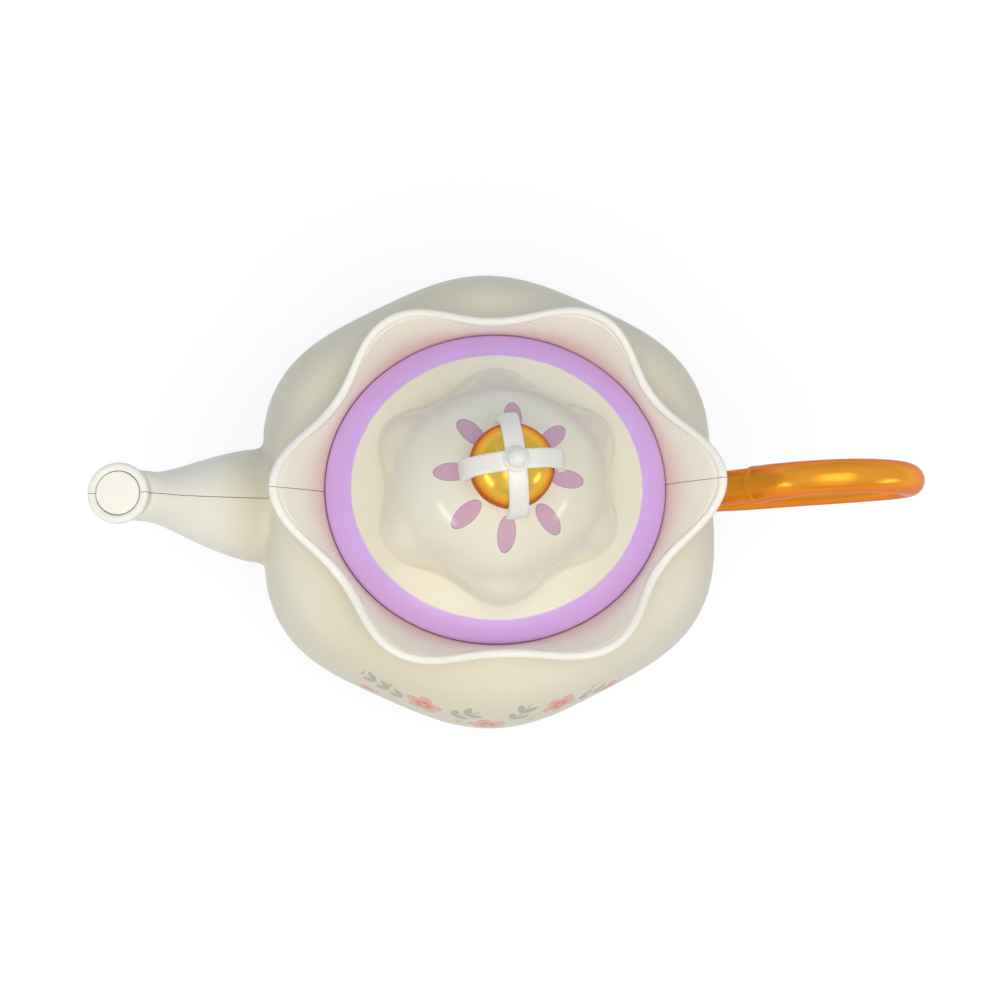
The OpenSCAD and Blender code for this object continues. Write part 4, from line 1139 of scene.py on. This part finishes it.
def gold_lacquer(name, shaded, lit, depth, metal):
    """depth(tree, y, z) gives the share of painted shade, the shaded colour, at a place in millimetres;
    elsewhere the lit colour is painted light.
    """
    finish, tree, shader = new_finish(name)
    place = own_place(tree)
    flakes = step_up(tree, grain(tree, FLAKES, 1), *FLAKE_EDGES)
    cloud = calc(tree, "MULTIPLY_ADD", grain(tree, GOLD_CLOUDS, 2), GOLD_CLOUDINESS, -GOLD_CLOUDINESS / 2)
    # Painted shade towards the deep colour where depth gives it, with random clouds
    share = calc(tree, "ADD", depth(tree, place[1], place[2]), cloud)
    base = tint(tree, share, lit, shaded)
    base = tint(tree, calc(tree, "MULTIPLY", flakes, FLAKE_COVER), base, lit)
    feed(tree, shader.inputs["Base Color"], base)
    shader.inputs["Metallic"].default_value = metal
    shader.inputs["Specular Tint"].default_value = GOLD_RIM
    shader.inputs["Specular IOR Level"].default_value = GOLD_GLOSS
    feed(tree, shader.inputs["Roughness"], spread(tree, grain(tree, GOLD_PATCHES, 3), *GOLD_ROUGH))
    bumps(tree, shader, flakes, FLAKE_RELIEF)
    return finish


def ball_painted_shade(tree, y, z):
    """Painted shade: deeper towards the foot of the ball, with painted light at its top."""
    rise = calc(tree, "DIVIDE", calc(tree, "SUBTRACT", z, BALL_Z), BALL_R)
    return within(tree, rise, *BALL_SHADE_EDGES)


def loop_painted_shade(tree, y, z):
    """Painted shade: deeper down the two sides of the loop, with painted light along its top."""
    return step_up(tree, calc(tree, "ABSOLUTE", y), HANDLE_SHADE_FROM, GRIP_R)


dress(handle, gold_lacquer("gold_handle", HANDLE_SHADED, HANDLE_LIT, loop_painted_shade, HANDLE_METAL))
dress(ball, gold_lacquer("gold_ball", BALL_SHADED, BALL_LIT, ball_painted_shade, BALL_METAL))

# White gloss of the crown
CROWN_WHITE = colour(240, 237, 229)
CROWN_GREY = colour(230, 226, 215)
CROWN_CLOUDS = 120
CROWN_PATCHES = 200
CROWN_ROUGH = (0.22, 0.34)
CROWN_COAT = 0.3


def white_gloss():
    finish, tree, shader = new_finish("white_crown")
    base = tint(tree, grain(tree, CROWN_CLOUDS, 2), CROWN_WHITE, CROWN_GREY)
    feed(tree, shader.inputs["Base Color"], base)
    feed(tree, shader.inputs["Roughness"], spread(tree, grain(tree, CROWN_PATCHES, 3), *CROWN_ROUGH))
    shader.inputs["Coat Weight"].default_value = CROWN_COAT
    return finish


dress(crown, white_gloss())

# Finishes of the CAD pieces: slot, name, two colours, metal, two roughnesses, patches per metre, relief
CAD_LOOKS = [
    ("cream_plastic", "bowl_cream", (238, 230, 212), (230, 220, 198), 0, 0.25, 0.4, 120, 0.05),
    ("base_plastic", "base_cream", (230, 223, 203), (222, 213, 188), 0, 0.45, 0.6, 300, 0.25),
    ("screw_steel", "zinc_steel", (196, 200, 206), (168, 172, 180), 1, 0.25, 0.45, 500, 0.1),
    ("battery_jacket", "battery_film", (96, 100, 110), (76, 80, 88), 0.3, 0.25, 0.4, 90, 0.03),
    ("contact_metal", "nickel", (212, 214, 218), (190, 192, 198), 1, 0.2, 0.35, 300, 0.05),
    ("board_green", "board_mask", (48, 110, 60), (38, 92, 50), 0, 0.3, 0.45, 260, 0.1),
    ("black_resin", "black_resin", (30, 31, 34), (20, 21, 23), 0, 0.35, 0.5, 200, 0.08),
    ("speaker_metal", "pressed_steel", (146, 150, 156), (126, 130, 136), 1, 0.35, 0.5, 200, 0.1),
    ("speaker_paper", "cone_paper", (58, 61, 66), (46, 48, 52), 0, 0.75, 0.9, 700, 0.4),
    ("switch_grey", "switch_grey", (158, 162, 166), (144, 148, 152), 0, 0.4, 0.55, 250, 0.1),
]


def plain_finish(name, first, second, metallic, rough_low, rough_high, scale, relief):
    """Two colours in patches, a finer pattern of roughness and a still finer relief."""
    finish, tree, shader = new_finish(name)
    base = tint(tree, grain(tree, scale, 4), colour(*first), colour(*second))
    feed(tree, shader.inputs["Base Color"], base)
    shader.inputs["Metallic"].default_value = metallic
    feed(tree, shader.inputs["Roughness"], spread(tree, grain(tree, scale * 3, 3), rough_low, rough_high))
    bumps(tree, shader, grain(tree, scale * 6, 2), relief)
    return finish


CAD_FINISHES = {look[0]: plain_finish(*look[1:]) for look in CAD_LOOKS}
for subpart in frame["record"]["subparts"]:
    if subpart["material_slot"] in CAD_FINISHES:
        dress(frame["nodes"][subpart["node"]], CAD_FINISHES[subpart["material_slot"]])

# The floor, which glows pale to the camera and in reflections
FLOOR_SIZE = 6.0
FLOOR_GREY = (0.3, 0.3, 0.3, 1)
FLOOR_ROUGH = 0.9
FLOOR_GLOW = 0.75
WHITE = (1, 1, 1, 1)

deselect()
bpy.ops.mesh.primitive_plane_add(size=FLOOR_SIZE)
floor = bpy.context.object
floor.name = "floor"


def pale_floor():
    finish, tree, shader = new_finish("pale_floor")
    shader.inputs["Base Color"].default_value = FLOOR_GREY
    shader.inputs["Roughness"].default_value = FLOOR_ROUGH
    shader.inputs["Specular IOR Level"].default_value = 0.0
    light_path = tree.nodes.new("ShaderNodeLightPath").outputs
    seen = calc(tree, "ADD", light_path["Is Camera Ray"], light_path["Is Glossy Ray"])
    seen = calc(tree, "MINIMUM", calc(tree, "ADD", seen, light_path["Is Transmission Ray"]), 1.0)
    shader.inputs["Emission Color"].default_value = WHITE
    feed(tree, shader.inputs["Emission Strength"], calc(tree, "MULTIPLY", seen, FLOOR_GLOW))
    return finish


dress(floor, pale_floor())

# A bluish light from all round
WORLD_COLOUR = (0.79, 0.88, 1.0, 1)
WORLD_STRENGTH = 0.7

world = bpy.data.worlds.new("studio")
bpy.context.scene.world = world
world.use_nodes = True
world_light = world.node_tree.nodes["Background"]
world_light.inputs["Color"].default_value = WORLD_COLOUR
world_light.inputs["Strength"].default_value = WORLD_STRENGTH

# Soft studio lamps in metres: name, place, width, height, power in watts and colour
LAMPS = [("top_box", (0.0, -0.15, 0.66), 0.5, 0.5, 1.6, (1.0, 0.9, 0.72)),
         ("left_box", (-0.78, -0.47, 0.22), 0.4, 0.1, 0.95, (1.0, 0.97, 0.9)),
         ("right_box", (0.8, -0.43, 0.3), 0.28, 0.08, 0.55, (1.0, 0.98, 0.94)),
         ("front_box", (0.0, -0.9, 0.75), 0.7, 0.7, 0.8, (1.0, 0.86, 0.6))]
LAMP_AIM = Vector((0, 0, 0.08))

for lamp_name, lamp_place, lamp_width, lamp_height, lamp_power, lamp_colour in LAMPS:
    bpy.ops.object.light_add(type="AREA", location=lamp_place)
    lamp = bpy.context.object
    lamp.name = lamp_name
    lamp.data.shape = "RECTANGLE"
    lamp.data.size = lamp_width
    lamp.data.size_y = lamp_height
    lamp.data.energy = lamp_power
    lamp.data.color = lamp_colour
    lamp.rotation_euler = (LAMP_AIM - Vector(lamp_place)).to_track_quat("-Z", "Y").to_euler()

# Camera at the photograph's angle: almost overhead, from the front left, and rolled
CAMERA_AZIMUTH = -38.3
CAMERA_ELEVATION = 82.3
CAMERA_ROLL = 36.8
CAMERA_DISTANCE = 430.0
CAMERA_TARGET = Vector((0.76, -3.27, 88.0))
FOCAL_PIXELS = 1601.0
IMAGE_PIXELS = 1000.0
SENSOR = 36.0
NEAREST = 0.01

level_share = cosd(CAMERA_ELEVATION)
back = Vector((sind(CAMERA_AZIMUTH) * level_share, -cosd(CAMERA_AZIMUTH) * level_share,
               sind(CAMERA_ELEVATION)))
level_right = Vector((cosd(CAMERA_AZIMUTH), sind(CAMERA_AZIMUTH), 0))
level_up = back.cross(level_right)
right = cosd(CAMERA_ROLL) * level_right + sind(CAMERA_ROLL) * level_up
up = cosd(CAMERA_ROLL) * level_up - sind(CAMERA_ROLL) * level_right
bpy.ops.object.camera_add()
camera = bpy.context.object
camera.name = "camera"
camera.data.sensor_width = SENSOR
camera.data.lens = SENSOR * FOCAL_PIXELS / IMAGE_PIXELS
camera.data.clip_start = NEAREST
place = Matrix.Translation((CAMERA_TARGET + CAMERA_DISTANCE * back) * MM)
camera.matrix_world = place @ Matrix((right, up, back)).transposed().to_4x4()
bpy.context.scene.camera = camera
bpy.context.scene.view_settings.view_transform = "Standard"
